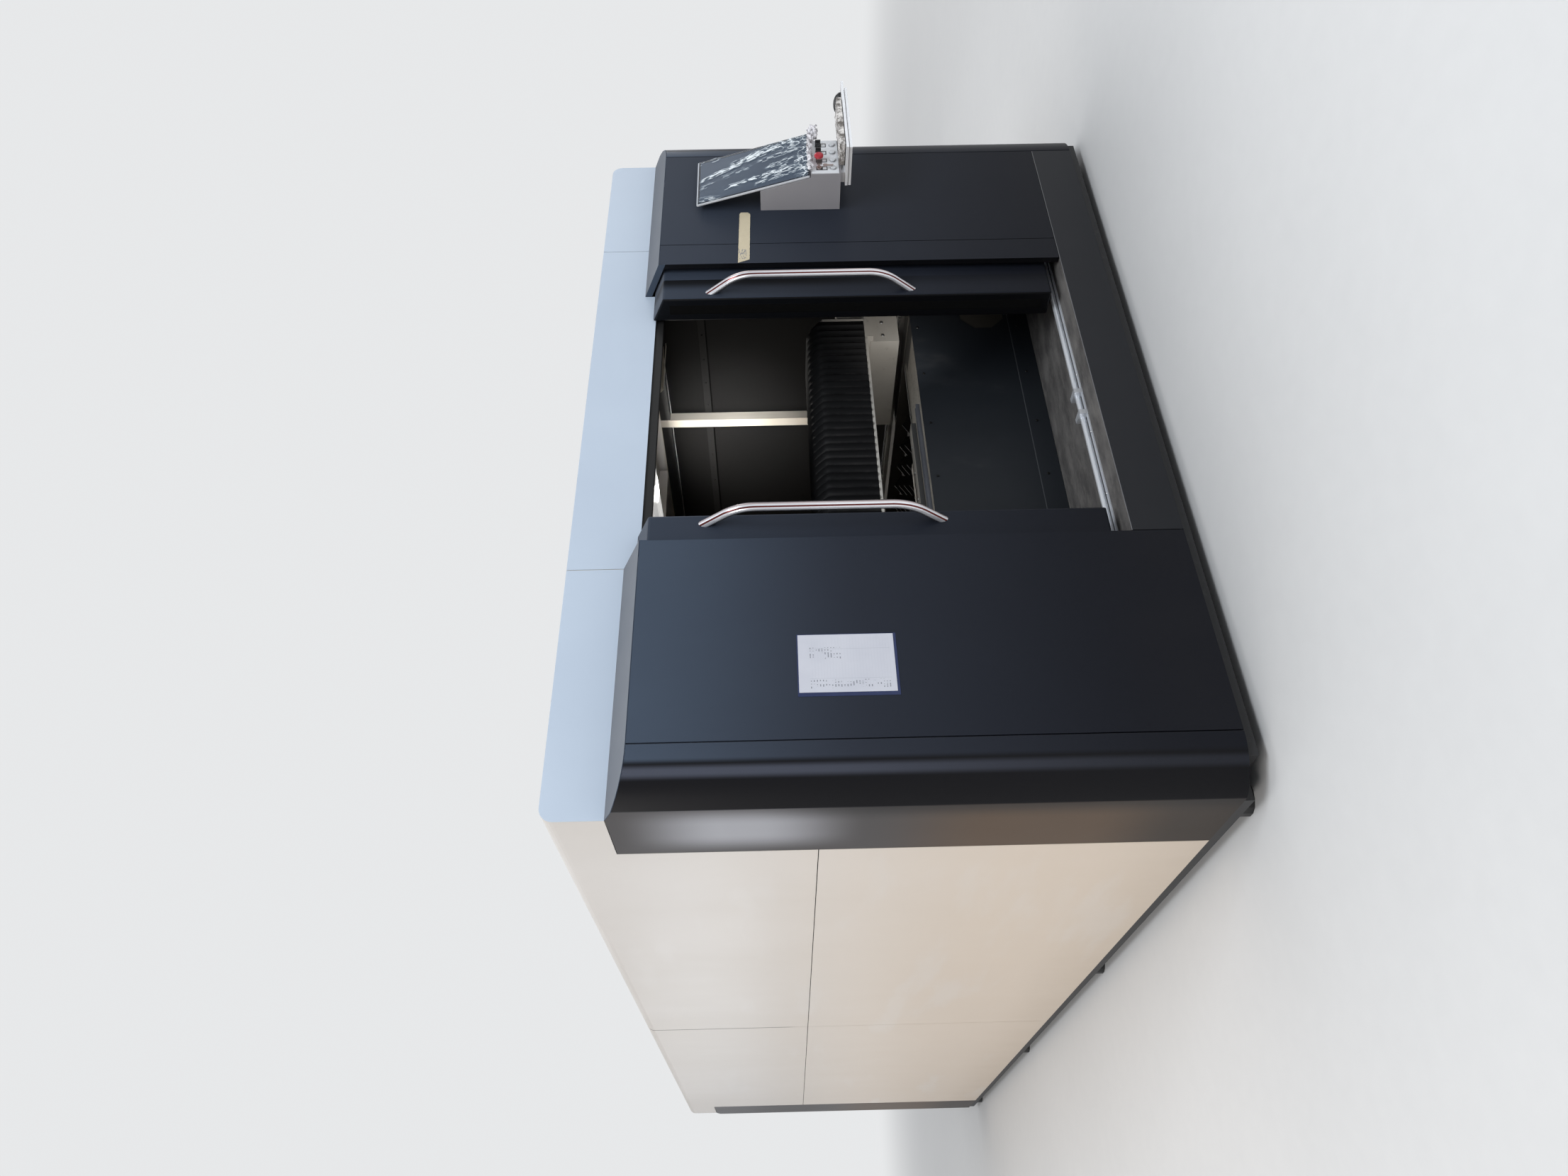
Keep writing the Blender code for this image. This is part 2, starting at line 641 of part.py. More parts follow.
def fillet(points, radius, steps=5):
    """Path through points with its inner corners rounded."""
    path = [Vector(points[0])]
    for before, here, after in zip(points, points[1:], points[2:]):
        here = Vector(here)
        to_back = (Vector(before) - here).normalized()
        to_next = (Vector(after) - here).normalized()
        bend = to_back.angle(to_next)
        reach = radius / sin(bend / 2) * cos(bend / 2)
        middle = here + (to_back + to_next).normalized() * radius / sin(bend / 2)
        start = here + to_back * reach - middle
        end = here + to_next * reach - middle
        start.normalize()
        end.normalize()
        path += [middle + radius * start.slerp(end, i / steps) for i in range(steps + 1)]
    path.append(Vector(points[-1]))
    return path


def door(side, hand, edge):
    """One thick door leaf with its runners, guide lug and bent tube handle."""
    slide = empty(hand + "_door_slide", (0, RAIL_Y, SILL_TOP), cabin)
    inner = side_x(side, edge)
    outer = side_x(side, edge - LEAF_WIDTH)
    top_back = LEAF_TOP + SHOULDER_SLOPE * (LEAF_FRONT - LEAF_BACK)
    outline = [(-LEAF_FRONT, LEAF_BOTTOM), (-LEAF_BACK, LEAF_BOTTOM), (-LEAF_BACK, top_back),
               (-LEAF_FRONT, LEAF_TOP)]
    leaf = prism(hand + "_door_leaf", outline, min(inner, outer), max(inner, outer), "yz")
    rounded = leaf.modifiers.new("edges", "BEVEL")
    rounded.width = LEAF_BEVEL
    rounded.segments = 2
    rounded.limit_method = "ANGLE"
    runner_top = LEAF_BOTTOM + 0.02
    runner_bottom = SILL_TOP + 2 * GAP + RAIL_CENTRE + RAIL_RADIUS
    for inset in (RUNNER_INSET, LEAF_WIDTH - RUNNER_INSET - RUNNER_LENGTH):
        xs = (inner + side * inset, inner + side * (inset + RUNNER_LENGTH))
        join(leaf, box("door_runner", xs, (RAIL_Y - 0.019, RAIL_Y + 0.019), (runner_bottom, runner_top)))
    for inset in (0.08, LEAF_WIDTH - 0.14):
        xs = (inner + side * inset, inner + side * (inset + 0.06))
        join(leaf, box("guide_arm", xs, (-0.03, 0.03), (GUIDE_ARM_BOTTOM, GUIDE_ARM_BOTTOM + 0.016)))
        join(leaf, box("guide_pin", xs, (0.0145, 0.0295),
                       (GUIDE_ARM_BOTTOM + 0.002, GUIDE_LIP_BOTTOM + 0.023)))
    part(leaf, "dark_powder", slide)
    leaf.location = Vector(leaf.location) - Vector((0, RAIL_Y, SILL_TOP))
    grip_x = inner + side * HANDLE_INSET
    out = -LEAF_FRONT - HANDLE_STANDOFF
    sink = 0.02
    reach = HANDLE_SLANT * sink / HANDLE_STANDOFF
    points = [(grip_x, -LEAF_FRONT + sink, HANDLE_LOW - reach), (grip_x, out, HANDLE_LOW + HANDLE_SLANT),
              (grip_x, out, HANDLE_HIGH - HANDLE_SLANT), (grip_x, -LEAF_FRONT + sink, HANDLE_HIGH + reach)]
    path = fillet(points, HANDLE_BEND)
    curve = bpy.data.curves.new(hand + "_door_handle", "CURVE")
    curve.dimensions = "3D"
    curve.bevel_depth = HANDLE_RADIUS
    curve.bevel_resolution = 3
    curve.use_fill_caps = True
    spline = curve.splines.new("POLY")
    spline.points.add(len(path) - 1)
    for point, place in zip(spline.points, path):
        point.co = (*place, 1)
    bar = bpy.data.objects.new(hand + "_door_handle", curve)
    parts.objects.link(bar)
    handle = as_mesh(bar)
    face = -LEAF_FRONT - GAP
    cut(handle, box("handle_cut", (grip_x - 0.1, grip_x + 0.1), (face, face + 0.1),
                    (HANDLE_LOW - 0.2, HANDLE_HIGH + 0.2)))
    part(handle, "chrome", slide)
    handle.location = Vector(handle.location) - Vector((0, RAIL_Y, SILL_TOP))


def rear():
    """Dark back: two corner wraps, a wall with the pallet opening and its lifting gate."""
    for side, hand in ((-1, "left"), (1, "right")):
        corner = wrap("rear_%s_wrap" % hand, side, "back")
        crest = [(0, -CREASE)] + corner_plan()[1:-1] + [(CORNER_RUN - SEAM / 2, -BAY)]
        back = [(side_x(side, d), mirrored(-GAP, "back"), shoulder_top(-GAP)) for d, y in crest]
        front = [(side_x(side, d), mirrored(y, "back"), shoulder_top(y)) for d, y in crest]
        lid = skin("rear_lid", [back, front], (0, 0, 1), thickness=2 * SHEET)
        join(corner, lid)
        part(corner, "dark_powder")
    near = CORNER_RUN + SEAM / 2
    xs = (side_x(-1, near), side_x(1, near))
    profile = [(PANEL_BACK, SKIRT_BOTTOM), (-BAY, SKIRT_BOTTOM), (-BAY, shoulder_top(-BAY)),
               (-GAP, shoulder_top(-GAP))]
    rows = [[(x, mirrored(y, "back"), z) for y, z in profile] for x in xs]
    wall = skin("rear_wall", rows, (0, 1, 0))
    inner = REAR_FACE - SHEET
    gate_high = GATE_BOTTOM + GATE_HEIGHT
    hole = (GATE_HALF - GATE_LAP, GATE_BOTTOM + GATE_LAP, gate_high - GATE_LAP)
    cut(wall, box("pallet_opening", (-hole[0], hole[0]), (inner - 0.01, REAR_FACE + 0.01),
                  (hole[1], hole[2])))
    for side in (-1, 1):
        web = (side * (GATE_HALF + GAP), side * (GATE_HALF + 0.02))
        lip = (side * (GATE_HALF - 0.02), side * (GATE_HALF + 0.02))
        tall = (GATE_BOTTOM - 0.03, gate_high + GATE_TRAVEL + 0.02)
        behind = inner - GATE_THICK - 2 * GAP
        join(wall, box("gate_guide_web", web, (behind - 0.004, inner + SHEET / 2), tall))
        join(wall, box("gate_guide_lip", lip, (behind - 0.004, behind), (tall[0] + 0.0005, tall[1] - 0.0005)))
    part(wall, "dark_powder")
    lift = empty("rear_gate_lift", (0, inner - GATE_THICK / 2, GATE_BOTTOM), cabin)
    gate = box("rear_gate", (-GATE_HALF, GATE_HALF), (-GATE_THICK / 2 - GAP, GATE_THICK / 2 - GAP),
               (0, GATE_HEIGHT))
    part(gate, "dark_powder", lift)


def bed():
    """Welded bed: two long beams with guide rails and ledges, tied by cross beams."""
    inner = BED_HALF - BED_BEAM
    ends = (BED_START, BED_START + BED_LENGTH)
    frame = box("machine_bed", (-BED_HALF, BED_HALF), (ends[0], ends[0] + 0.30),
                (BASE_TOP + GAP, BED_CROSS_TOP))
    join(frame, box("bed_rear_cross", (-BED_HALF + 0.01, BED_HALF - 0.01), (ends[1] - 0.12, ends[1] - 0.001),
                    (BASE_TOP + GAP, 0.58)))
    join(frame, box("bed_middle_cross", (-BED_HALF + 0.01, BED_HALF - 0.01),
                    (HALF_LENGTH - 0.06, HALF_LENGTH + 0.06),
                    (BASE_TOP + GAP, 0.42)))
    for side in (-1, 1):
        beam = box("bed_beam", (side * inner, side * (BED_HALF + 0.0005)), (ends[0] + 0.001, ends[1]),
                   (BASE_TOP + GAP, BED_TOP))
        join(frame, beam)
        join(frame, box("bed_ledge", (side * (inner - LEDGE_WIDTH), side * (inner + 0.01)),
                        (ends[0] + 0.29, ends[1] - 0.01), (LEDGE_TOP - 0.06, LEDGE_TOP)))
        join(frame, box("bed_guide", (side * (GUIDE_X - GUIDE_WIDTH / 2), side * (GUIDE_X + GUIDE_WIDTH / 2)),
                        (ends[0] + 0.02, ends[1] - 0.02), (BED_TOP - 0.01, BED_TOP + GUIDE_HEIGHT)))
        for i in range(4):
            y = ends[0] + BED_LENGTH * (i + 0.62) / 4.4
            cut(frame, bed_window(side, y))
    part(frame, "bed_paint")
    plate_back = BED_START - GAP
    plate_front = plate_back - PLATE_THICK
    plate = box("bed_front_plate", (-BED_HALF, BED_HALF), (plate_front, plate_back),
                (SILL_TOP + GAP, BED_CROSS_TOP))
    join(plate, box("plate_step", (-BED_HALF + 0.001, BED_HALF - 0.001),
                    (plate_front - 0.002, plate_front + 0.001),
                    (SILL_TOP + 2 * GAP, PLATE_STEP)))
    cut(plate, prism("plate_window", chamfered((BED_HALF - 0.29, 0.46), 0.19, 0.20, 0.06), plate_front - 0.02,
                     plate_back + 0.02, "xz"))
    part(plate, "black_sheet")


def chamfered(centre, width, height, corner):
    """Outline of a window with its corners cut off."""
    w, h = width / 2, height / 2
    corners = [(-w, -h + corner), (-w, h - corner), (-w + corner, h), (w - corner, h),
               (w, h - corner), (w, -h + corner), (w - corner, -h), (-w + corner, -h)]
    return [(centre[0] + a, centre[1] + b) for a, b in corners]


def bed_window(side, y):
    """Shallow chamfered window in the outer face of a bed beam."""
    outline = chamfered((y, 0.47), 0.56, 0.34, 0.10)
    return prism("bed_window", outline, side * BED_HALF - 0.03, side * BED_HALF + 0.03, "yz")


def slat_outline():
    """Toothed slat in X and Z, sunk at both ends into the pallet's tubes."""
    reach = PALLET_HALF - PALLET_TUBE / 2
    pitch = 2 * (reach - PALLET_TUBE / 2 - 0.004) / SLAT_TEETH
    outline = [(-reach, SLAT_BOTTOM), (-reach, PALLET_TOP - 0.01)]
    start = -pitch * SLAT_TEETH / 2
    outline.append((start, PALLET_TOP - 0.01))
    for i in range(SLAT_TEETH):
        outline.append((start + pitch * i + 0.001, SLAT_VALLEY))
        outline.append((start + pitch * (i + 0.5), SLAT_TIP))
    outline.append((-start - 0.001, SLAT_VALLEY))
    outline.append((-start, PALLET_TOP - 0.01))
    outline += [(reach, PALLET_TOP - 0.01), (reach, SLAT_BOTTOM)]
    return outline


def pallet():
    """Cutting pallet: a tube frame with toothed slats across it."""
    ends = (PALLET_START, PALLET_START + PALLET_LENGTH)
    low = LEDGE_TOP + GAP
    frame = box("cutting_pallet", (-PALLET_HALF, PALLET_HALF), ends, (low, PALLET_TOP))
    inside = PALLET_HALF - PALLET_TUBE
    cut(frame, box("pallet_inside", (-inside, inside), (ends[0] + PALLET_TUBE, ends[1] - PALLET_TUBE),
                   (low - 0.05, PALLET_TOP + 0.05)))
    spacing = PALLET_LENGTH / (SLAT_COUNT + 1)
    for i in range(SLAT_COUNT):
        y = ends[0] + spacing * (i + 1)
        join(frame, prism("slat", slat_outline(), y - SLAT_THICK / 2, y + SLAT_THICK / 2, "xz"))
    part(frame, "black_sheet")


def cover_section(inset):
    """Bellows section in Y and Z, from the foot of the front to the back of the top."""
    front = GANTRY_FRONT + inset
    return [(front, COVER_BOTTOM), (front, COVER_SHOULDER - 0.4 * inset),
            (front + COVER_CHAMFER - 0.6 * inset, COVER_TOP - inset), (GANTRY_FRONT + COVER_DEPTH,
                                                                       COVER_TOP - inset)]


def bellows(name, start, end, folds):
    """Pleated cover between two X values, a thin sheet folded up and down."""
    steps = 2 * folds
    first, last = start + COVER_HEM, end - COVER_HEM
    stations = [(start, 0.0)]
    stations += [(first + (last - first) * i / steps, FOLD_DEPTH if i % 2 else 0.0) for i in range(steps + 1)]
    stations.append((end, 0.0))
    rows = [[(x, y, z) for y, z in cover_section(inset)] for x, inset in stations]
    return skin(name, rows, (0, -1, 1), thickness=0.0015)


def gantry():
    """Gantry beam with its end carriages, head carriage, cutting head and bellows."""
    travel = empty("gantry_travel", (0, 0, 0), cabin)
    beam_front = GANTRY_FRONT + BEAM_SETBACK
    back = beam_front + BEAM_DEPTH
    beam = box("gantry_beam", (-CARRIAGE_INNER - 0.01, CARRIAGE_INNER + 0.01), (beam_front, back),
               (BEAM_BOTTOM, BEAM_TOP))
    flange_top = COVER_BOTTOM - GAP
    join(beam, box("beam_flange", (-COVER_END - 0.008, COVER_END + 0.008),
                   (GANTRY_FRONT - 0.002, back - 0.01),
                   (flange_top - 0.012, flange_top)))
    join(beam, box("beam_foot", (-CARRIAGE_INNER - 0.005, CARRIAGE_INNER + 0.005),
                   (beam_front + 0.03, back - 0.03),
                   (flange_top - 0.006, BEAM_BOTTOM + 0.01)))
    for z in (BEAM_BOTTOM + 0.03, BEAM_TOP - 0.03):
        join(beam, box("beam_rail", (-COVER_END + 0.003, COVER_END - 0.003),
                       (beam_front - 0.02, beam_front + 0.005),
                       (z - 0.012, z + 0.012)))
    foot = BED_TOP + GUIDE_HEIGHT + GAP
    for side in (-1, 1):
        xs = (side * CARRIAGE_INNER, side * CARRIAGE_OUTER)
        join(beam, box("end_foot", xs, (GANTRY_FRONT + 0.06, GANTRY_FRONT + 0.06 + CARRIAGE_LENGTH),
                       (foot, 0.965)))
        join(beam, box("end_block", (side * (CARRIAGE_INNER + 0.005), side * (CARRIAGE_OUTER - 0.006)),
                       (GANTRY_FRONT + 0.03, back + 0.05), (0.955, 1.07)))
        join(beam, box("end_bracket", (side * (COVER_END + 0.01), side * (CARRIAGE_OUTER - 0.002)),
                       (GANTRY_FRONT + 0.02, GANTRY_FRONT + 0.20), (1.06, 1.125)))
        outline = [(y, z - END_PLATE_DROP) for y, z in cover_section(0.0)[1:]]
        outline += [(GANTRY_FRONT + COVER_DEPTH, COVER_BOTTOM - 0.006),
                    (GANTRY_FRONT, COVER_BOTTOM - 0.006)]
        xs = sorted((side * COVER_END, side * (COVER_END + END_PLATE_THICK)))
        join(beam, prism("end_plate", outline, xs[0], xs[1], "yz"))
    part(beam, "bed_paint", travel)
    half = HEAD_WIDTH / 2
    right = bellows("right_bellows", HEAD_X + half + GAP, COVER_END - GAP, RIGHT_FOLDS)
    part(right, "black_fabric", travel)
    left = bellows("left_bellows", -COVER_END + GAP, HEAD_X - half - GAP, LEFT_FOLDS)
    part(left, "black_fabric", travel)
    head(travel, beam_front)


def head(travel, beam_front):
    """Head carriage on the beam's rails, and the cutting head that slides down it."""
    cross = empty("head_cross_travel", (HEAD_X, 0, 0), travel)
    half = HEAD_WIDTH / 2
    rail_face = beam_front - 0.02 - GAP
    carriage = box("head_carriage", (-half, half), (GANTRY_FRONT - 0.012, rail_face),
                   (COVER_BOTTOM + 0.003, COVER_TOP))
    join(carriage, box("lift_housing", (-HOUSING_HALF, HOUSING_HALF),
                       (GANTRY_FRONT - HOUSING_DEPTH, GANTRY_FRONT),
                       (HOUSING_BOTTOM, HOUSING_TOP)), cross)
    join(carriage, box("carriage_hood", (-half + 0.001, half - 0.001),
                       (GANTRY_FRONT, GANTRY_FRONT + COVER_DEPTH - 0.002),
                       (COVER_TOP - 0.03, COVER_TOP - 0.001)), cross)
    part(carriage, "white_plate", cross)
    lift = empty("head_lift", (0, GANTRY_FRONT - HEAD_STANDOFF, NOZZLE_TIP), cross)
    slide_back = HEAD_STANDOFF - HOUSING_DEPTH - GAP
    body_low = 0.09
    cutter = box("cutting_head", (-0.045, 0.045), (-0.04, slide_back), (body_low + 0.06, 0.43))
    join(cutter, rod("head_barrel", 0.03, body_low - 0.03 + GAP, body_low + 0.10, (0, 0), 20), lift)
    part(cutter, "steel", lift)
    tip = turned("nozzle", [(0, 0.06), (0.014, 0.06), (0.014, 0.035), (0.009, 0.022), (0.002, 0), (0, 0)], 18)
    part(tip, "copper", lift)


def lamp():
    """Work lamp, a white bar that runs back under the roof at the right."""
    top = ROOF_TOP - SHEET - GAP
    body = box("work_lamp", (LAMP_LEFT, LAMP_LEFT + LAMP_WIDTH), (LAMP_START, LAMP_START + LAMP_LENGTH),
               (top - 0.05, top))
    edge = body.modifiers.new("edges", "BEVEL")
    edge.width = 0.012
    edge.segments = 2
    part(body, "lamp_white")


def console():
    """Operator console on the right panel: box, button plate, monitor, shelf and desk set."""
    xs = (CONSOLE_LEFT, CONSOLE_LEFT + CONSOLE_WIDTH)
    wall = -BAY - GAP
    foot = -BAY - CONSOLE_REACH
    step = foot + LEDGE_DEPTH
    lean = step + (CONSOLE_TOP - CONSOLE_LEDGE) * tan(MONITOR_TILT)
    outline = [(wall, CONSOLE_BOTTOM), (wall, CONSOLE_TOP), (lean, CONSOLE_TOP), (step, CONSOLE_LEDGE),
               (foot, CONSOLE_LEDGE), (foot, CONSOLE_BOTTOM)]
    case = prism("console_box", outline, xs[0], xs[1], "yz")
    face = empty("console_face", (CONSOLE_LEFT, foot, PLATE_BOTTOM), cabin)
    plate = box("button_panel", (0.001, CONSOLE_WIDTH - 0.001), (-PLATE_THICK - GAP, -GAP), (0, PLATE_HEIGHT))
    front = -PLATE_THICK - GAP
    for row in (UPPER_ROW, LOWER_ROW):
        for i in range(4):
            place = (BUTTON_FIRST + i * BUTTON_PITCH, POCKET_DEPTH / 2 + front / 2, row)
            cut(plate, button_hole(place), face)
            cut(case, button_hole(place), face)
    part(plate, "white_plate", face)
    part(case, "console_grey")
    stand = empty("monitor_stand", (CONSOLE_LEFT, step, CONSOLE_LEDGE), cabin, tilt=-MONITOR_TILT)
    low = MONITOR_LIFT
    monitor = box("monitor", (0.002, 0.002 + MONITOR_WIDTH), (-MONITOR_THICK - GAP, -GAP),
                  (low, low + MONITOR_HEIGHT))
    bezel = monitor.modifiers.new("edges", "BEVEL")
    bezel.width = 0.005
    bezel.segments = 2
    cut(monitor, box("screen_recess", (0.012, MONITOR_WIDTH - 0.008),
                     (-MONITOR_THICK - 0.01, -MONITOR_THICK + 0.0012),
                     (low + 0.014, low + MONITOR_HEIGHT - 0.01)), stand)
    part(monitor, "glass_black", stand)
    switches(face, front)
    shelf(xs)


def button_hole(place):
    """Cutter for one round hole through the button plate into the console."""
    hole = rod("hole", HOLE_RADIUS, 0, POCKET_DEPTH + 0.01, (0, 0), 16)
    hole.rotation_euler = (pi / 2, 0, 0)
    hole.location = place
    return hole


def switches(face, front):
    """Selectors, key switch, emergency stop and push buttons in the plate's holes."""
    stem_end = -0.016
    cap = 0.001
    knob = [(0, 0.018), (0.011, 0.018), (0.012, 0.016), (0.012, cap), (STEM_RADIUS, cap),
            (STEM_RADIUS, stem_end), (0, stem_end)]
    stop = [(0, 0.034), (0.012, 0.033), (0.0185, 0.029), (0.02, 0.024), (0.0185, 0.019), (0.010, 0.017),
            (0.010, 0.0055),
            (STEM_RADIUS, 0.0055), (STEM_RADIUS, stem_end), (0, stem_end)]
    lock = [(0, 0.007), (0.011, 0.007), (0.011, cap), (STEM_RADIUS, cap), (STEM_RADIUS, stem_end),
            (0, stem_end)]
    push = [(0, 0.008), (0.0105, 0.008), (0.0115, 0.007), (0.0115, 0.0045), (STEM_RADIUS, 0.0045),
            (STEM_RADIUS, stem_end),
            (0, stem_end)]
    upper = (("key_switch", lock, "steel"), ("emergency_stop", stop, "red_plastic"),
             ("left_selector", knob, "black_plastic"), ("right_selector", knob, "black_plastic"))
    for i, (name, profile, finish) in enumerate(upper):
        axis = empty(name + "_axis", (BUTTON_FIRST + i * BUTTON_PITCH, front, UPPER_ROW), face, tilt=pi / 2)
        piece = turned(name, profile)
        if name.endswith("selector"):
            join(piece, box("selector_grip", (-0.003, 0.003), (-0.0115, 0.0115), (0.012, 0.026)), axis)
        if name == "key_switch":
            join(piece, box("key_shank", (-0.001, 0.001), (-0.004, 0.004), (0.005, 0.02)), axis)
            join(piece, box("key_bow", (-0.001, 0.001), (-0.011, 0.011), (0.018, 0.042)), axis)
        part(piece, finish, axis)
    for i in range(4):
        name = "push_button_%d" % (i + 1)
        axis = empty(name + "_axis", (BUTTON_FIRST + i * BUTTON_PITCH, front, LOWER_ROW), face, tilt=pi / 2)
        part(turned(name, push), "clear_plastic", axis)


def shelf(xs):
    """Two-plate shelf hung under the console on a riser, with keyboard and mouse."""
    x = (SHELF_LEFT, SHELF_LEFT + SHELF_WIDTH)
    y = (-SHELF_FRONT, -SHELF_FRONT + SHELF_DEPTH)
    lower = box("keyboard_shelf", (x[0] + 0.004, x[1] - SHELF_OVERHANG), (y[0] + 0.004, y[1]),
                (SHELF_BOTTOM, SHELF_BOTTOM + SHELF_PLATE))
    middle = SHELF_BOTTOM + SHELF_PLATE + SHELF_STEP
    top = middle + SHELF_PLATE
    join(lower, box("shelf_core", (x[0] + 0.012, x[1] - SHELF_OVERHANG - 0.008),
                    (y[0] + 0.012, y[1] - 0.01), (SHELF_BOTTOM + 0.006, middle + 0.005)))
    join(lower, box("shelf_plate", x, (y[0], y[1] - 0.001), (middle, top)))
    join(lower, box("shelf_riser", (xs[0] + 0.03, xs[1] - 0.02), (y[1] - 0.05, y[1] - 0.005),
                    (top - 0.005, CONSOLE_BOTTOM - GAP)))
    part(lower, "console_grey")
    keys = box("keyboard", (KEYBOARD_LEFT, KEYBOARD_LEFT + KEYBOARD_WIDTH),
               (y[0] + 0.006, y[0] + 0.006 + KEYBOARD_DEPTH), (top + GAP, top + 0.018))
    edge = keys.modifiers.new("edges", "BEVEL")
    edge.width = 0.003
    edge.segments = 2
    part(keys, "black_plastic")
    bpy.ops.mesh.primitive_uv_sphere_add(segments=16, ring_count=10, radius=1)
    mouse = bpy.context.object
    mouse.name = mouse.data.name = "mouse"
    mouse.data.transform(Matrix.Diagonal((*MOUSE_SIZE, 1)))
    mouse.location = (MOUSE_X, y[0] + 0.07, top + GAP)
    cut(mouse, box("mouse_base", (MOUSE_X - 0.06, MOUSE_X + 0.06), (y[0], y[0] + 0.14),
                   (top - 0.04, top + GAP)))
    part(mouse, "black_plastic")


base_frame()
side_panels()
fascias()
roof()
wall_frames()
header()
dark_front()
sill()
door_rail()
door(-1, "left", LEFT_LEAF_EDGE)
door(1, "right", RIGHT_LEAF_EDGE)
rear()
bed()
pallet()
gantry()
lamp()
console()
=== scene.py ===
from math import asin, cos, pi, radians, sin

import bmesh
import bpy
from mathutils import Matrix, Vector, noise


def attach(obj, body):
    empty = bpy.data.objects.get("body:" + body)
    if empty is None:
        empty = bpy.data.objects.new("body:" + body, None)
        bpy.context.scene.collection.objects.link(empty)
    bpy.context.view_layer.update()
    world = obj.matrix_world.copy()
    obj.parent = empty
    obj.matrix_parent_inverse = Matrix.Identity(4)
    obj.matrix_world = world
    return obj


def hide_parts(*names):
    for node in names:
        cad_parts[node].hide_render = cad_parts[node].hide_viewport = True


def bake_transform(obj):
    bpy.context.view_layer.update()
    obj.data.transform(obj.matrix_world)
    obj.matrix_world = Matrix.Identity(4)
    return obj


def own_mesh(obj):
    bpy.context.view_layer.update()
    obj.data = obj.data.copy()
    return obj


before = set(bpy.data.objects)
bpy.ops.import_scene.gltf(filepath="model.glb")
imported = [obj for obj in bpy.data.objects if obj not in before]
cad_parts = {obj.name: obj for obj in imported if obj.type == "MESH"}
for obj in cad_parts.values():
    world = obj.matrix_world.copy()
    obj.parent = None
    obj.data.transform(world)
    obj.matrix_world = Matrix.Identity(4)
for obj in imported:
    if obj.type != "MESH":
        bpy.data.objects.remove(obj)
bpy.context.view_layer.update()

# The place where the machine is looked at from: a tall picture stored on its side, so the
# camera is rolled a quarter turn.  The lens and the station come from the machine's own edges.
view_right = Vector((0.82418, -0.56592, -0.02133))
view_up = Vector((0.02220, -0.00535, 0.99974))
view_ahead = Vector((0.56589, 0.82444, -0.00816))
camera = bpy.data.cameras.new("viewpoint")
camera.sensor_width = 36.0
camera.lens = 24.004
camera.clip_end = 300
viewpoint = bpy.data.objects.new("viewpoint", camera)
bpy.context.scene.collection.objects.link(viewpoint)
turned_view = Matrix((-view_up, view_right, -view_ahead)).transposed().to_4x4()
viewpoint.matrix_world = Matrix.Translation((-2.832, -5.670, 1.4505)) @ turned_view
bpy.context.scene.camera = viewpoint
bpy.context.scene.view_settings.view_transform = "Standard"


# Hall light: broad soft panels overhead and at both sides, as from a workshop's roof lights and
# windows, small ones at the work lamp and in the doorway, and a pale even world round them.
def softbox(name, place, aim, size, watts, colour=(1, 1, 1), spread=180):
    """Rectangular lamp at place that looks towards aim."""
    light = bpy.data.lights.new(name, "AREA")
    light.shape = "RECTANGLE"
    light.size, light.size_y = size
    light.energy = watts
    light.color = colour
    light.spread = radians(spread)
    lamp = bpy.data.objects.new(name, light)
    bpy.context.scene.collection.objects.link(lamp)
    lamp.visible_camera = False
    look = (Vector(aim) - Vector(place)).to_track_quat("-Z", "Y")
    lamp.matrix_world = Matrix.Translation(place) @ look.to_matrix().to_4x4()


softbox("roof_light_front", (-1.5, -8.0, 7.0), (0, -2.6, 1.6), (6, 2.0), 400, (0.90, 0.95, 1.0))
softbox("roof_light_over", (0.5, 0.5, 8.0), (0, 0, 2), (9, 9), 420)
softbox("window_left", (-8.5, -1.5, 4.4), (-1.6, -0.8, 1.6), (8, 1.6), 300, (1.0, 0.96, 0.92))
softbox("window_behind_left", (-4.6, 8.5, 2.5), (-2.2, 0, 1.7), (1.5, 1.6), 16, (0.90, 0.95, 1.0))
softbox("window_far_right", (9.0, -4.0, 4.0), (1.6, -2, 1.3), (6, 3), 130)
softbox("work_lamp_light", (1.10, -0.91, 2.112), (1.02, -0.95, 0.8), (0.08, 0.5), 16, (1.0, 0.97, 0.92))
softbox("doorway_light_low", (0.42, -2.62, 0.88), (1.10, -2.24, 0.78), (0.16, 0.10), 0.5,
        (1.0, 0.97, 0.93), 75)
softbox("doorway_light_high", (-0.45, -2.56, 1.72), (1.53, -1.05, 1.68), (0.2, 0.2), 2.6,
        (0.93, 0.96, 1.0), 24)

hall = bpy.data.worlds.new("hall")
bpy.context.scene.world = hall
hall.use_nodes = True
parts, links = hall.node_tree.nodes, hall.node_tree.links
BACKDROP = (0.80, 0.81, 0.82)
sky = parts["Background"]
rays = parts.new("ShaderNodeLightPath")
backdrop = parts.new("ShaderNodeBackground")
choice = parts.new("ShaderNodeMixShader")
sky.inputs["Color"].default_value = (0.92, 0.95, 1.0, 1)
sky.inputs["Strength"].default_value = 0.36
backdrop.inputs["Color"].default_value = (*BACKDROP, 1)
backdrop.inputs["Strength"].default_value = 1.0
links.new(rays.outputs["Is Camera Ray"], choice.inputs["Fac"])
links.new(sky.outputs["Background"], choice.inputs[1])
links.new(backdrop.outputs["Background"], choice.inputs[2])
links.new(choice.outputs["Shader"], parts["World Output"].inputs["Surface"])


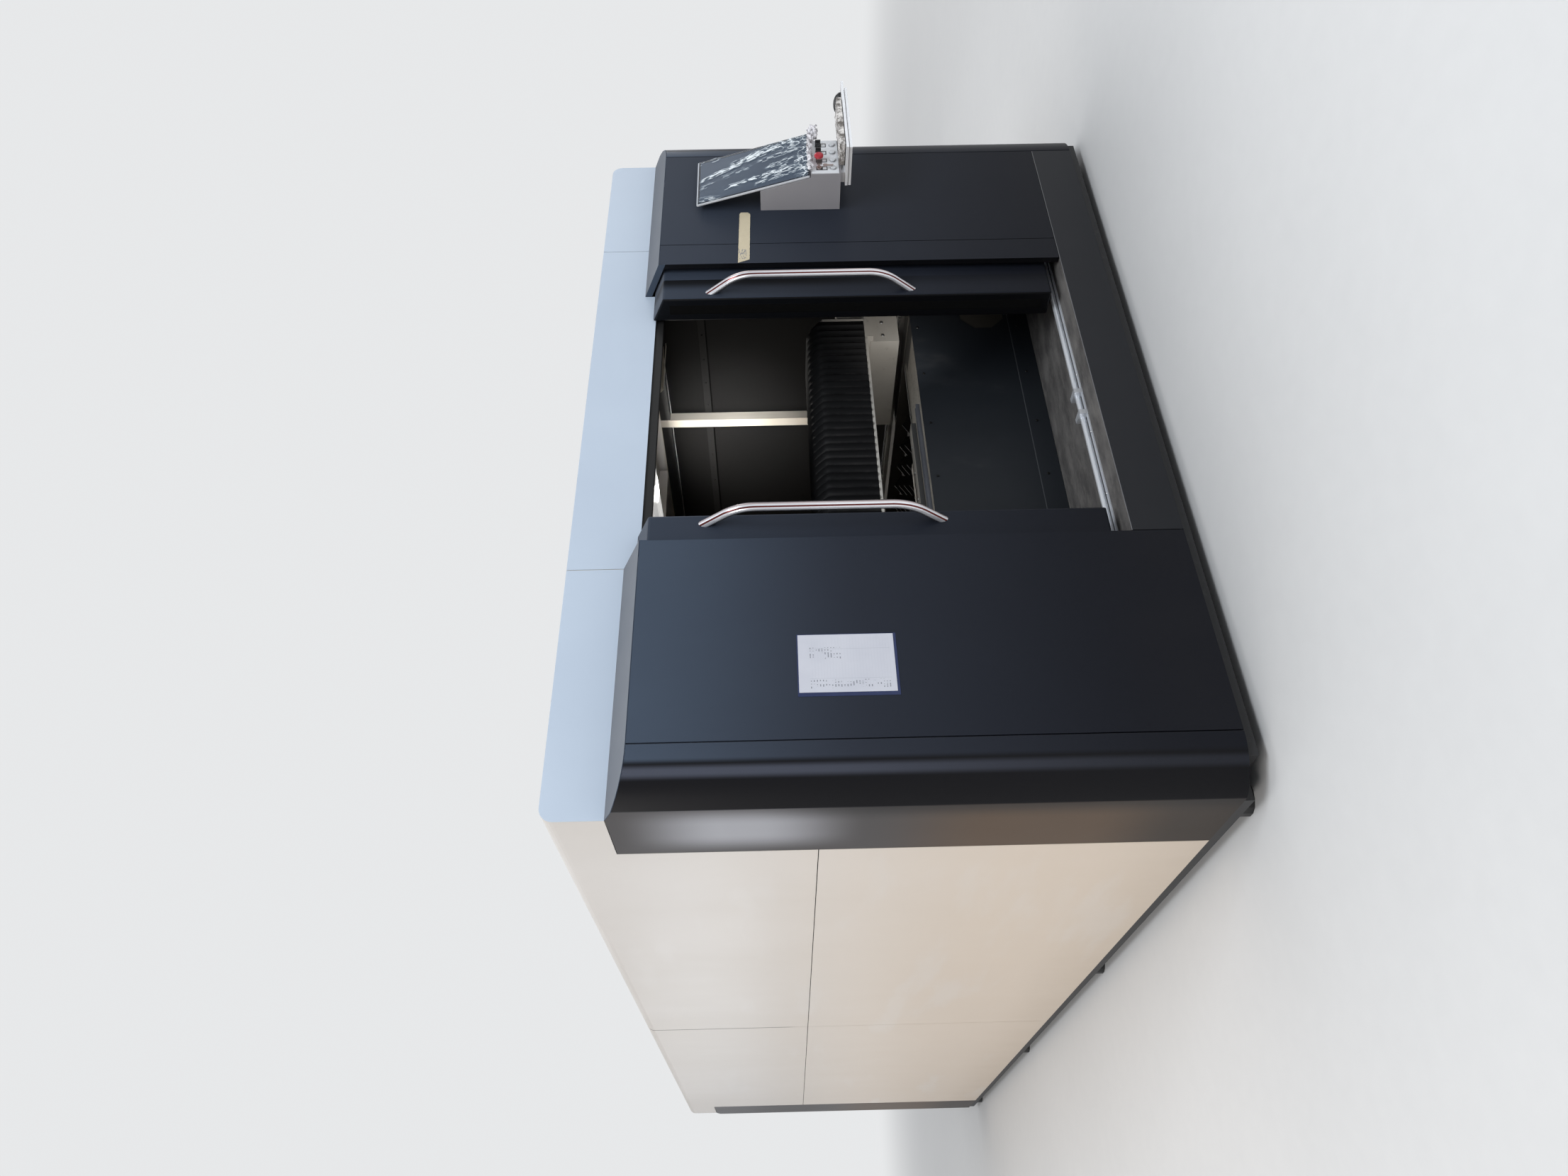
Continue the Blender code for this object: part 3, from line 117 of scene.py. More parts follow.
# Workshop floor: a plain pale slab, faintly mottled, that fades into the backdrop far away.
class Tone:
    """One socket in a finish. Arithmetic on it adds Math nodes to that finish."""

    def __init__(self, finish, socket):
        self.finish = finish
        self.socket = socket

    def maths(self, operation, *others):
        return self.finish.add("ShaderNodeMath", {"operation": operation}, dict(enumerate((self, *others))))

    def __add__(self, other):
        return self.maths("ADD", other)

    def __sub__(self, other):
        return self.maths("SUBTRACT", other)

    def __rsub__(self, other):
        return self.finish.add("ShaderNodeMath", {"operation": "SUBTRACT"}, {0: other, 1: self})

    def __mul__(self, other):
        return self.maths("MULTIPLY", other)

    def __pow__(self, other):
        return self.maths("POWER", other)

    def __abs__(self):
        return self.maths("ABSOLUTE")

    __radd__ = __add__
    __rmul__ = __mul__

    def over(self, low, high):
        """0 below low, 1 above high and a smooth step between; high may be the lower one."""
        flip = high < low
        low, high = min(low, high), max(low, high)
        step = self.finish.add("ShaderNodeMapRange", {"interpolation_type": "SMOOTHSTEP"},
                               {"Value": self, "From Min": low, "From Max": high})
        return 1 - step if flip else step

    def near(self, centre, reach, soft):
        """1 within reach of centre, falling to 0 over soft."""
        return abs(self - centre).over(reach + soft, reach)


class Finish:
    """A paint, metal or plastic: one node material that ends in one Principled shader."""

    def __init__(self, name, **everywhere):
        self.material = bpy.data.materials.new(name)
        self.material.use_nodes = True
        self.tree = self.material.node_tree
        self.shader = self.tree.nodes["Principled BSDF"]
        for socket, value in everywhere.items():
            self.lay(socket.replace("_", " "), value)

    def feed(self, socket, value):
        if isinstance(value, Tone):
            self.tree.links.new(value.socket, socket)
        elif isinstance(value, tuple) and len(value) == 3 and len(socket.default_value) == 4:
            socket.default_value = (*value, 1)
        else:
            socket.default_value = value

    def add(self, kind, settings, inputs, output=0):
        """Adds a node: its settings first, then its sockets, and gives one output."""
        node = self.tree.nodes.new(kind)
        for setting, value in settings.items():
            setattr(node, setting, value)
        for socket, value in inputs.items():
            self.feed(node.inputs[socket], value)
        return Tone(self, node.outputs[output])

    def place(self, scale=(1, 1, 1), shift=(0, 0, 0)):
        """Object coordinates in metres, stretched or shifted."""
        spot = self.add("ShaderNodeTexCoord", {}, {}, "Object")
        return self.add("ShaderNodeMapping", {}, {"Vector": spot, "Location": shift, "Scale": scale})

    def along(self, axis):
        """Object coordinate on one axis, in metres."""
        spot = self.add("ShaderNodeTexCoord", {}, {}, "Object")
        return self.add("ShaderNodeSeparateXYZ", {}, {0: spot}, "XYZ".index(axis))

    def facing(self, axis):
        """How far the surface faces along one axis, from -1 to 1."""
        normal = self.add("ShaderNodeNewGeometry", {}, {}, "Normal")
        return self.add("ShaderNodeSeparateXYZ", {}, {0: normal}, "XYZ".index(axis))

    def cloud(self, scale, detail=4.0, rough=0.55, stretch=(1, 1, 1), shift=(0, 0, 0)):
        """Soft noise from 0 to 1 with cells of about 1/scale metres."""
        return self.add("ShaderNodeTexNoise", {}, {"Vector": self.place(stretch, shift), "Scale": scale,
                                                  "Detail": detail, "Roughness": rough})

    def mix(self, first, second, share):
        return self.add("ShaderNodeMix", {"data_type": "RGBA"}, {0: share, 6: first, 7: second}, 2)

    def lay(self, socket, value):
        """Sets one socket of the shader to a value or links it."""
        self.feed(self.shader.inputs[socket], value)
        return self

    def colour(self, value):
        return self.lay("Base Color", value)

    def gloss(self, value):
        return self.lay("Roughness", value)

    def relief(self, *layers):
        """Bumps over the surface; each layer is its height, depth in metres and strength."""
        normal = None
        for height, depth, strength in layers:
            inputs = {"Height": height, "Distance": depth, "Strength": strength}
            if normal:
                inputs["Normal"] = normal
            normal = self.add("ShaderNodeBump", {}, inputs)
        return self.lay("Normal", normal)


slab = Finish("workshop_slab", Specular_IOR_Level=0.25)
mottle = slab.cloud(0.9, 5) * 0.6 + slab.cloud(14, 3) * 0.4
slab.colour(slab.mix((0.60, 0.60, 0.60), (0.68, 0.68, 0.675), mottle)).gloss(0.55 + mottle * 0.2)
slab.relief((slab.cloud(60, 3), 0.0006, 0.3))
reach = slab.add("ShaderNodeVectorMath", {"operation": "LENGTH"}, {0: slab.place()}, "Value")
haze = slab.add("ShaderNodeEmission", {}, {"Color": BACKDROP, "Strength": 1.0})
edge = slab.add("ShaderNodeMixShader", {},
                {0: reach.over(4.6, 13), 1: Tone(slab, slab.shader.outputs[0]), 2: haze})
slab.tree.links.new(edge.socket, slab.tree.nodes["Material Output"].inputs["Surface"])


def finished(name, mesh, finish, body, smooth):
    """Gives a mesh its finish and makes it a piece at the origin that rides on a body."""
    if smooth:
        mesh.shade_smooth()
        mesh.set_sharp_from_angle(angle=radians(smooth))
    mesh.materials.append(finish.material)
    obj = bpy.data.objects.new(name, mesh)
    bpy.context.scene.collection.objects.link(obj)
    if body:
        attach(obj, body)
    return obj


def piece(name, shape, finish, body, smooth=None):
    """Turns a worked shape into a piece; edges blunter than smooth, in degrees, are rounded."""
    mesh = bpy.data.meshes.new(name)
    shape.to_mesh(mesh)
    shape.free()
    return finished(name, mesh, finish, body, smooth)


ground = bmesh.new()
bmesh.ops.create_grid(ground, x_segments=1, y_segments=1, size=60)
piece("floor", ground, slab, None)


# Base: welded square tube under the whole cabin, sprayed matt black, on round levelling feet
# with rubber undersides; dust settles on it in the gap under the skirt.
def dress(finish, *nodes):
    """Gives a finish to pieces that keep their solid shape."""
    for node in nodes:
        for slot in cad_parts[node].material_slots:
            slot.material = finish.material


base_black = Finish("base_black_enamel")
settled = base_black.facing("Z").over(0.3, 0.95) * base_black.cloud(3, 5).over(0.25, 0.75)
rubber = base_black.along("Z").over(0.022, 0.018)
worn = base_black.cloud(26, 6).over(0.60, 0.70)
paint = base_black.mix((0.018, 0.018, 0.019), (0.10, 0.095, 0.088), settled * 0.7 + worn * 0.15)
base_black.colour(base_black.mix(paint, (0.012, 0.012, 0.012), rubber))
base_black.gloss(0.5 + settled * 0.35).relief((base_black.cloud(220, 3), 0.0004, 0.4))
dress(base_black, "base_frame")


# Side sheets and roof: 2 mm steel, powder coated cream white before assembly, hung on the tube
# frames with 3 mm seams; the upper upright seam carries painted shade, and the sheets get warmer
# painted light low down.  Large sheets are never flat, so reflections swim a little in them.
MIDDLE_Y = 0.143


def powder_white(name, clean, aged, painted_low_light_tone):
    """Satin white powder coat with faint smudges, a dusty foot, slow waves in the sheet, painted warmer light
    low down and painted shade along the upper upright seam.
    """
    coat = Finish(name, Coat_Roughness=0.35, Specular_IOR_Level=0.45)
    smudge = coat.cloud(0.7, 4, 0.6, (1, 1, 0.55))
    fine = coat.cloud(5.5, 5, 0.6, (1, 1, 0.35))
    foot = coat.along("Z").over(0.42, 0.08) * (0.35 + 0.65 * fine)
    wiped = coat.cloud(2.1, 3, 0.5, (0.4, 0.5, 2.2)).over(0.56, 0.72)
    # Painted light: lower on the sheet the colour shifts to a second, warmer tone.
    painted_low_light_share = coat.along("Z").over(1.92, 0.45)
    tone = coat.mix(aged, clean, smudge.over(0.25, 0.75))
    tone = coat.mix(tone, painted_low_light_tone, painted_low_light_share * 0.8)
    tone = coat.mix(tone, (0.46, 0.40, 0.33), foot * 0.30)
    settled = coat.facing("Z").over(0.7, 0.95) * coat.cloud(1.6, 6, 0.66, (1, 0.6, 1)).over(0.38, 0.70)
    tone = coat.mix(tone, (0.40, 0.37, 0.33), settled * 0.38)
    tone = coat.mix(tone, clean, wiped * 0.25)
    # Painted shade: a dark line along the upper upright seam, between the middle rail and the roof.
    painted_seam_shade = coat.along("Y").near(MIDDLE_Y, 0.0050, 0.0008) * coat.along("Z").over(1.37, 1.45)
    tone = coat.mix(tone, (0.10, 0.085, 0.075), painted_seam_shade * coat.along("Z").over(2.165, 2.155) * 0.8)
    coat.colour(tone).gloss(0.33 + fine * 0.10 + foot * 0.2 + settled * 0.25 - wiped * 0.05)
    coat.lay("Coat Weight", 0.15)
    coat.relief((coat.cloud(1.15, 2, 0.4), 0.012, 0.22), (coat.cloud(420, 2, 0.5), 0.00018, 0.35))
    return coat


side_white = powder_white("side_white_powder", (0.665, 0.635, 0.605), (0.605, 0.570, 0.530),
                          (0.665, 0.550, 0.435))
side_white_sheets = ["%s_side_panel_%s_%s" % (hand, end, level) for hand in ("left", "right")
                     for end in ("front", "back") for level in ("upper", "lower")]
dress(side_white, *side_white_sheets, "roof_panel")

# Fascia: the white band over the doors, the same white powder coat with the hall's cold light
# painted into its colour as a blue tint, three plates in front and one at the back, with
# hair-thin seams.
fascia_white = powder_white("fascia_white_powder", (0.55, 0.63, 0.73), (0.49, 0.565, 0.665),
                            (0.55, 0.55, 0.54))
dress(fascia_white, "fascia_left", "fascia_middle", "fascia_right", "rear_fascia")

# Wall frames and door header: square tube welded up and brushed with beige enamel.  Runs and
# brush marks show along the tubes; the header's channel and the rail over the lining get
# painted shadow in near black.
BAYS = ((-2.645, -1.075), (-1.000, 0.105), (0.180, 1.283), (1.358, 2.931))
SHADOW_BLACK = (0.007, 0.0068, 0.0066)
frame_beige = Finish("frame_beige_enamel")
brush = frame_beige.cloud(38, 4, 0.6, (1, 1, 0.08))
grime = frame_beige.cloud(2.4, 5).over(0.35, 0.8)
paint = frame_beige.mix((0.47, 0.425, 0.35), (0.56, 0.51, 0.43), brush)
paint = frame_beige.mix(paint, (0.26, 0.22, 0.17), grime * 0.35)
# Painted shadow in near black in the channel under the header and on the top rail over the lining; the posts
# stay beige.
channel = frame_beige.along("Z").over(1.956, 1.953) * frame_beige.along("Z").over(1.885, 1.890)
channel = channel * frame_beige.along("Y").over(-2.677, -2.678)
painted_rail_shadow = frame_beige.along("Z").over(2.040, 2.042) * frame_beige.along("Z").over(2.1175, 2.1165)
painted_rail_shadow = painted_rail_shadow * abs(frame_beige.along("X")).over(1.4, 1.41)
for (_, end), (start, _) in zip(BAYS, BAYS[1:]):
    painted_rail_shadow = painted_rail_shadow * (1 - frame_beige.along("Y").near((end + start) / 2, 0.0300, 0.0006))
paint = frame_beige.mix(paint, SHADOW_BLACK, channel)
frame_beige.colour(frame_beige.mix(paint, SHADOW_BLACK, painted_rail_shadow))
frame_beige.gloss(0.42 + brush * 0.15).relief((brush, 0.0006, 0.35), (frame_beige.cloud(90, 3), 0.0004, 0.3))
dress(frame_beige, "left_wall_frame", "right_wall_frame", "front_header")

# Header bracket: a 2 mm steel sheet that hangs from the roof just behind the door track, its
# foot folded towards the front, in the frames' beige enamel.
def block(low, high, edge=0.0, steps=2, into=None):
    """Rectangular body between two corners with its edges eased."""
    shape = into or bmesh.new()
    lump = bmesh.new()
    bmesh.ops.create_cube(lump, size=1)
    size = [b - a for a, b in zip(low, high)]
    middle = [(a + b) / 2 for a, b in zip(low, high)]
    bmesh.ops.scale(lump, vec=size, verts=lump.verts)
    if edge:
        bmesh.ops.bevel(lump, geom=lump.edges, offset=edge, segments=steps, profile=0.5, affect="EDGES")
    bmesh.ops.translate(lump, vec=middle, verts=lump.verts)
    held = bpy.data.meshes.new("lump")
    lump.to_mesh(held)
    lump.free()
    shape.from_mesh(held)
    bpy.data.meshes.remove(held)
    return shape


def flat_body(outline, depths, into=None):
    """Flat body between two depths, its outline drawn on X and Z."""
    shape = into or bmesh.new()
    front, back = ([shape.verts.new((x, y, z)) for x, z in outline] for y in depths)
    shape.faces.new(front)
    shape.faces.new(back[::-1])
    for i in range(len(outline)):
        shape.faces.new((front[i], front[i - 1], back[i - 1], back[i]))
    bmesh.ops.recalc_face_normals(shape, faces=shape.faces)
    return shape


hanger = flat_body(((0.401, 1.962), (0.745, 1.984), (0.745, 1.946), (0.731, 1.928), (0.464, 1.917)),
                   (-2.4150, -2.4130))
block((0.464, -2.4350, 1.917), (0.731, -2.4152, 1.919), 0.0005, 1, hanger)
piece("header_bracket", hanger, frame_beige, "cabin", 30)


# Cabin lining: thin sheets behind the posts, sprayed matt near-black so that the beam's glare
# dies in them, lapped at shoulder height and held by button-head screws along each bay.
CABIN_SIDE = 1.63
LINER_IN = CABIN_SIDE - 0.0046
LAP_HEIGHT = 1.83
lining_black = Finish("lining_matt_black", Specular_IOR_Level=0.08)
height = lining_black.along("Z")
speck = lining_black.cloud(300, 4, 0.7)
blotch = lining_black.cloud(1.7, 4)
tone = lining_black.mix((0.0055, 0.0053, 0.0052), (0.010, 0.0095, 0.0090), blotch)
tone = lining_black.mix(tone, (0.022, 0.021, 0.020), speck.over(0.58, 0.75) * 0.5)
# Painted light at the lap: a paler band is a painted highlight on it, and a black line under its lower edge
# is painted shadow.
tone = lining_black.mix(tone, (0.015, 0.0145, 0.014), height.near(LAP_HEIGHT, 0.019, 0.003) * 0.8)
lining_black.colour(lining_black.mix(tone, (0.0, 0.0, 0.0), height.near(LAP_HEIGHT - 0.0235, 0.0035, 0.0015)))
lining_black.gloss(0.68 + speck * 0.2).relief((speck, 0.0005, 0.5), (lining_black.cloud(3, 2), 0.01, 0.25))
dress(lining_black, "left_liner", "right_liner")
laps = bmesh.new()
for side in (-1, 1):
    for start, end in BAYS:
        xs = sorted((side * (LINER_IN - 0.0002), side * (LINER_IN - 0.0035)))
        block((xs[0], start, LAP_HEIGHT - 0.022), (xs[1], end, LAP_HEIGHT + 0.022), 0.0008, 1, laps)
piece("lining_laps", laps, lining_black, "cabin")

# Lower lining boards: black sheets screwed over the posts, from the bottom rail to just above
# the gantry, so the posts seem to end there.
POST_IN = 1.5652
boards = bmesh.new()
for side in (-1, 1):
    xs = sorted((side * (POST_IN - 0.0005), side * (POST_IN - 0.0025)))
    block((xs[0], -2.62, 0.2212), (xs[1], 2.62, 1.207), 0.0006, 1, boards)
piece("lower_lining_boards", boards, lining_black, "cabin")


# Button-head screws and rivets: zinc-plated heads set in rows by a small tree of nodes, used
# wherever sheets are fixed.  A row is a first place, a step and a number of heads.
class Jig:
    """A Geometry Nodes tree with named sizes that is run once and leaves a plain mesh."""

    def __init__(self, name, sizes):
        self.tree = bpy.data.node_groups.new(name, "GeometryNodeTree")
        kinds = {int: "NodeSocketInt", float: "NodeSocketFloat", tuple: "NodeSocketVector"}
        self.tree.interface.new_socket("Geometry", in_out="INPUT", socket_type="NodeSocketGeometry")
        self.tree.interface.new_socket("Geometry", in_out="OUTPUT", socket_type="NodeSocketGeometry")
        self.keys = {}
        for size, value in sizes.items():
            socket = self.tree.interface.new_socket(size, in_out="INPUT", socket_type=kinds[type(value)])
            socket.default_value = value
            self.keys[size] = socket.identifier
        self.given = self.tree.nodes.new("NodeGroupInput")
        self.result = self.tree.nodes.new("NodeGroupOutput")

    feed = Finish.feed
    add = Finish.add

    def size(self, name):
        return Tone(self, self.given.outputs[name])

    def end(self, geometry, finish):
        plain = self.add("GeometryNodeRealizeInstances", {}, {"Geometry": geometry})
        coated = self.add("GeometryNodeSetMaterial", {}, {"Geometry": plain, "Material": finish.material})
        self.tree.links.new(coated.socket, self.result.inputs["Geometry"])

    def run(self, name, finish, body, start=None, smooth=30, **sizes):
        """Runs the tree on a start mesh and keeps the result as a plain piece."""
        seed = start or bpy.data.meshes.new(name + "_start")
        maker = bpy.data.objects.new(name + "_maker", seed)
        bpy.context.scene.collection.objects.link(maker)
        step = maker.modifiers.new("jig", "NODES")
        step.node_group = self.tree
        for size, value in sizes.items():
            step[self.keys[size]] = value
        bpy.context.view_layer.update()
        mesh = bpy.data.meshes.new_from_object(maker.evaluated_get(bpy.context.evaluated_depsgraph_get()))
        bpy.data.objects.remove(maker)
        mesh.name = name
        mesh.materials.clear()
        return finished(name, mesh, finish, body, smooth)


def two_tone(name, dull, fresh, cells, detail, gloss, **everywhere):
    """Plain finish whose colour drifts between two tones."""
    finish = Finish(name, **everywhere)
    return finish.colour(finish.mix(dull, fresh, finish.cloud(cells, detail))).gloss(gloss)


zinc = two_tone("zinc_plated_screw", (0.42, 0.42, 0.43), (0.62, 0.62, 0.60), 400, 3, 0.3, Metallic=1.0)
zinc.gloss(0.28 + zinc.cloud(900, 2) * 0.2)
blackened = two_tone("blackened_screw", (0.03, 0.03, 0.03), (0.07, 0.07, 0.068), 400, 3, 0.5, Metallic=1.0)

screw_row = Jig("screw_row", {"First": (0.0, 0.0, 0.0), "Step": (0.1, 0.0, 0.0), "Number": 5,
                              "Turn": (0.0, 0.0, 0.0), "Radius": 0.006, "Height": 0.003})
radius, height = screw_row.size("Radius"), screw_row.size("Height")
line = screw_row.add("GeometryNodeMeshLine", {"mode": "OFFSET"},
                     {"Count": screw_row.size("Number"), "Start Location": screw_row.size("First"),
                      "Offset": screw_row.size("Step")})
head = screw_row.add("GeometryNodeMeshCone", {"fill_type": "NGON"},
                     {"Vertices": 10, "Side Segments": 1, "Radius Top": radius * 0.72,
                      "Radius Bottom": radius, "Depth": height})
drive = screw_row.add("GeometryNodeMeshCylinder", {"fill_type": "NGON"},
                      {"Vertices": 6, "Radius": radius * 0.42, "Depth": height})
seat = screw_row.add("ShaderNodeCombineXYZ", {}, {"Z": height * 0.55})
drive = screw_row.add("GeometryNodeTransform", {}, {"Geometry": drive, "Translation": seat})
hollow = screw_row.add("GeometryNodeMeshBoolean", {"operation": "DIFFERENCE", "solver": "EXACT"},
                       {"Mesh 1": head, "Mesh 2": drive})
screws = screw_row.add("GeometryNodeInstanceOnPoints", {},
                       {"Points": line, "Instance": hollow, "Rotation": screw_row.size("Turn")})
screw_row.end(screws, zinc)


FACING_FRONT = (pi / 2, 0.0, 0.0)


def row(first, number, step, radius, height, turn=(0.0, 0.0, 0.0)):
    """Sizes of one row of heads."""
    return {"First": first, "Number": number, "Step": step, "Radius": radius, "Height": height, "Turn": turn}


def merged(name, rows, body, finish=zinc):
    """Several rows of screws joined into one piece."""
    made = [screw_row.run("%s_%d" % (name, i), finish, body, **sizes) for i, sizes in enumerate(rows)]
    whole = bmesh.new()
    for obj in made:
        whole.from_mesh(obj.data)
        bpy.data.objects.remove(obj)
    return piece(name, whole, finish, body, 30)


rows = []
for side in (-1, 1):
    turn = (0.0, -side * pi / 2, 0.0)
    for start, end in BAYS:
        rows.append(row((side * (LINER_IN - 0.0048), start + 0.06, LAP_HEIGHT), 9,
                        (0.0, (end - start - 0.12) / 8, 0.0), 0.0055, 0.0025, turn))
    for height in (0.26, 1.18):
        rows.append(row((side * (POST_IN - 0.0037), -2.56, height), 18, (0.0, 0.3, 0.0), 0.0065, 0.003, turn))
merged("lining_screws", rows, "cabin", lining_black)


# Dark front and back: folded sheets, powder coated satin blue-black, with a fine orange-peel
# skin.  Hands, dust and the polisher's cloth leave slow clouds in the gloss.
def powder_dark(name, dust=0.0, depth=1.0, ceiling_reflection=1.0, doorway_shade=0.0):
    """Satin blue-black powder coat: dust lies on what faces up, depth is how much the sheet
    waves; the fourth argument sets how strong the painted reflection of the roof is up high, the
    fifth how much painted shade falls where it faces into the doorway and beside the right panel."""
    coat = Finish(name, Specular_IOR_Level=0.14, Coat_Roughness=0.34)
    slow = coat.cloud(0.8, 4, 0.6, (1, 1, 0.6))
    rubbed = coat.cloud(3.5, 5, 0.62, (1, 1, 0.3))
    grit = coat.cloud(160, 3, 0.6)
    lying = coat.facing("Z").over(0.35, 0.9) * (0.55 + 0.45 * rubbed)
    foot = coat.along("Z").over(0.5, 0.08) * rubbed
    # Painted reflection of the bright roof: the coat grows paler and bluer up the sheet.
    middle = coat.along("Z").over(0.15, 1.75)
    high = coat.along("Z").over(1.15, 2.05)
    tone = coat.mix((0.0050, 0.0058, 0.0095), (0.0075, 0.0085, 0.0135), slow)
    tone = coat.mix(tone, (0.030, 0.036, 0.051), middle * (0.75 + 0.25 * slow))
    tone = coat.mix(tone, (0.062, 0.084, 0.120), high * (0.70 + 0.30 * rubbed) * ceiling_reflection)
    tone = coat.mix(tone, (0.030, 0.028, 0.028), foot * 0.3)
    # Painted shade where the sheet faces into the doorway, and on the leaf beside the right panel.
    doorway = coat.facing("X").over(-0.6, -0.9)
    beside_panel = coat.along("X").over(0.595, 0.650) * coat.along("X").over(0.665, 0.664)
    beside_panel = beside_panel * (0.35 + 0.65 * coat.along("Z").over(0.7, 1.3))
    tone = coat.mix(tone, (0.0025, 0.0025, 0.003), (doorway + beside_panel) * doorway_shade)
    tone = coat.mix(tone, (0.22, 0.225, 0.235), lying * dust + grit.over(0.66, 0.8) * 0.03)
    coat.colour(tone).gloss(0.40 + rubbed * 0.09 + lying * dust * 0.4)
    coat.relief((coat.cloud(1.3, 2, 0.4), 0.010, 0.10 * depth), (coat.cloud(380, 2, 0.5), 0.00022, 0.5))
    return coat


dark_coat = powder_dark("front_dark_powder", 0.35)
dress(dark_coat, "left_front_panel", "rear_wall", "rear_gate")
# The far front panel and its edge strip get less painted reflection up high and painted shade towards the
# doorway.
shaded_coat = powder_dark("far_front_dark_powder", 0.35, 1.0, 0.25, 0.92)
dress(shaded_coat, "right_front_panel", "right_edge_strip")
cap_coat = powder_dark("shoulder_dusty_powder", 0.75)
dress(cap_coat, "left_shoulder_cap", "right_shoulder_cap")

# Corner wraps: one sheet each, bent at the side and rolled to a large arc that runs into the
# front plane, with a flange folded back at the seam.  Their colour is mostly painted light: a
# painted highlight along the roll, painted reflections up high and on the side, and painted
# shade by the crease.  The rear ones are closed with a lid.
SHEET = 0.002
SKIRT_BOTTOM, FASCIA_BOTTOM, SHOULDER_SLOPE = 0.075, 1.976, 0.442
FRONT_Y, REAR_Y = -2.715, 3.001
PROUD, CREASE, WRAP_LENGTH, WRAP_RUN, ROLL_RUN = 0.163, 0.058, 0.2785, 0.1705, 0.172
PANEL = FRONT_Y - PROUD


def eased(points, reach, steps=4):
    """Line through points with each inner corner rounded over a short reach."""
    line = [Vector(points[0])]
    for before, here, after in zip(points, points[1:], points[2:]):
        here = Vector(here)
        back = (Vector(before) - here).normalized() * reach
        on = (Vector(after) - here).normalized() * reach
        line += [here + back * (1 - i / steps) ** 2 + on * (i / steps) ** 2 for i in range(steps + 1)]
    return line + [Vector(points[-1])]


def upright_sheet(plan, low, tops, thick):
    """Sheet that stands on a line in plan; its thickness goes to the right of the line."""
    shape = bmesh.new()
    inner = []
    for i, here in enumerate(plan):
        before = (here - plan[i - 1]).normalized() if i else None
        after = (plan[i + 1] - here).normalized() if i + 1 < len(plan) else None
        ways = [Vector((way.y, -way.x)) for way in (before, after) if way]
        middle = sum(ways, Vector((0, 0))).normalized()
        inner.append(here + middle * thick / middle.dot(ways[0]))
    feet = [low] * len(plan)
    rows = [[shape.verts.new((x, y, z)) for (x, y), z in zip(line, heights)]
            for line, heights in ((plan, feet), (plan, tops), (inner, tops), (inner, feet))]
    for a, b in zip(rows, rows[1:] + rows[:1]):
        for i in range(len(plan) - 1):
            shape.faces.new((a[i], b[i], b[i + 1], a[i + 1]))
    for i in (0, -1):
        shape.faces.new([row[i] for row in rows])
    bmesh.ops.recalc_face_normals(shape, faces=shape.faces)
    return shape


wrap_coat = Finish("corner_dark_powder", Specular_IOR_Level=0.16, Coat_Roughness=0.26)
slow = wrap_coat.cloud(0.8, 4, 0.6, (1, 1, 0.6))
rubbed = wrap_coat.cloud(3.5, 5, 0.62, (1, 1, 0.3))
sideways = abs(wrap_coat.facing("X"))
flat_side = sideways.over(0.93, 0.985)
rolled = sideways.over(0.24, 0.34) * (1 - flat_side)
# Painted highlight: a soft streak along the roll.
painted_roll_highlight = sideways.near(0.44, 0.02, 0.10) * (0.7 + 0.3 * slow)
middle = wrap_coat.along("Z").over(0.15, 1.75)
high = wrap_coat.along("Z").over(1.15, 2.05)
# Painted reflection of the bright roof on the front plane, paler and bluer up high.
front_tone = wrap_coat.mix((0.0065, 0.0075, 0.012), (0.030, 0.036, 0.051), middle)
front_tone = wrap_coat.mix(front_tone, (0.062, 0.084, 0.120), high * (0.70 + 0.30 * rubbed))
roll_tone = wrap_coat.mix((0.0045, 0.0045, 0.0060), (0.070, 0.077, 0.103), painted_roll_highlight * (0.25 + 0.75 * middle))
side_height = wrap_coat.along("Z")
side_depth = wrap_coat.along("Y")
# Painted light on the flat side: warm brown low down, grey higher up and darker towards the foot.
side_painted_light = wrap_coat.mix((0.088, 0.056, 0.034), (0.062, 0.057, 0.057), side_height.over(0.80, 1.20))
side_painted_light = wrap_coat.mix(side_painted_light, (0.020, 0.016, 0.014), side_height.over(0.50, 0.20) * 0.8)
# Painted reflection of a window: a pale patch high on the side near the front.
painted_window_reflection = side_height.near(1.57, 0.05, 0.34) * side_depth.near(-2.62, 0.04, 0.15) * (0.85 + 0.15 * slow)
side_painted_light = wrap_coat.mix(side_painted_light, (0.36, 0.365, 0.395), painted_window_reflection)
fold_shade = side_depth.over(-2.66, -2.778) * side_height.over(1.60, 1.10)
side_painted_light = wrap_coat.mix(side_painted_light, (0.012, 0.011, 0.012), fold_shade * 0.8)
tone = wrap_coat.mix(front_tone, roll_tone, rolled)
wrap_coat.colour(wrap_coat.mix(tone, side_painted_light, flat_side)).gloss(0.36 + rubbed * 0.08)
wrap_coat.lay("Coat Weight", flat_side * high * 0.25)
wrap_coat.relief((wrap_coat.cloud(380, 2, 0.5), 0.00022, 0.5))

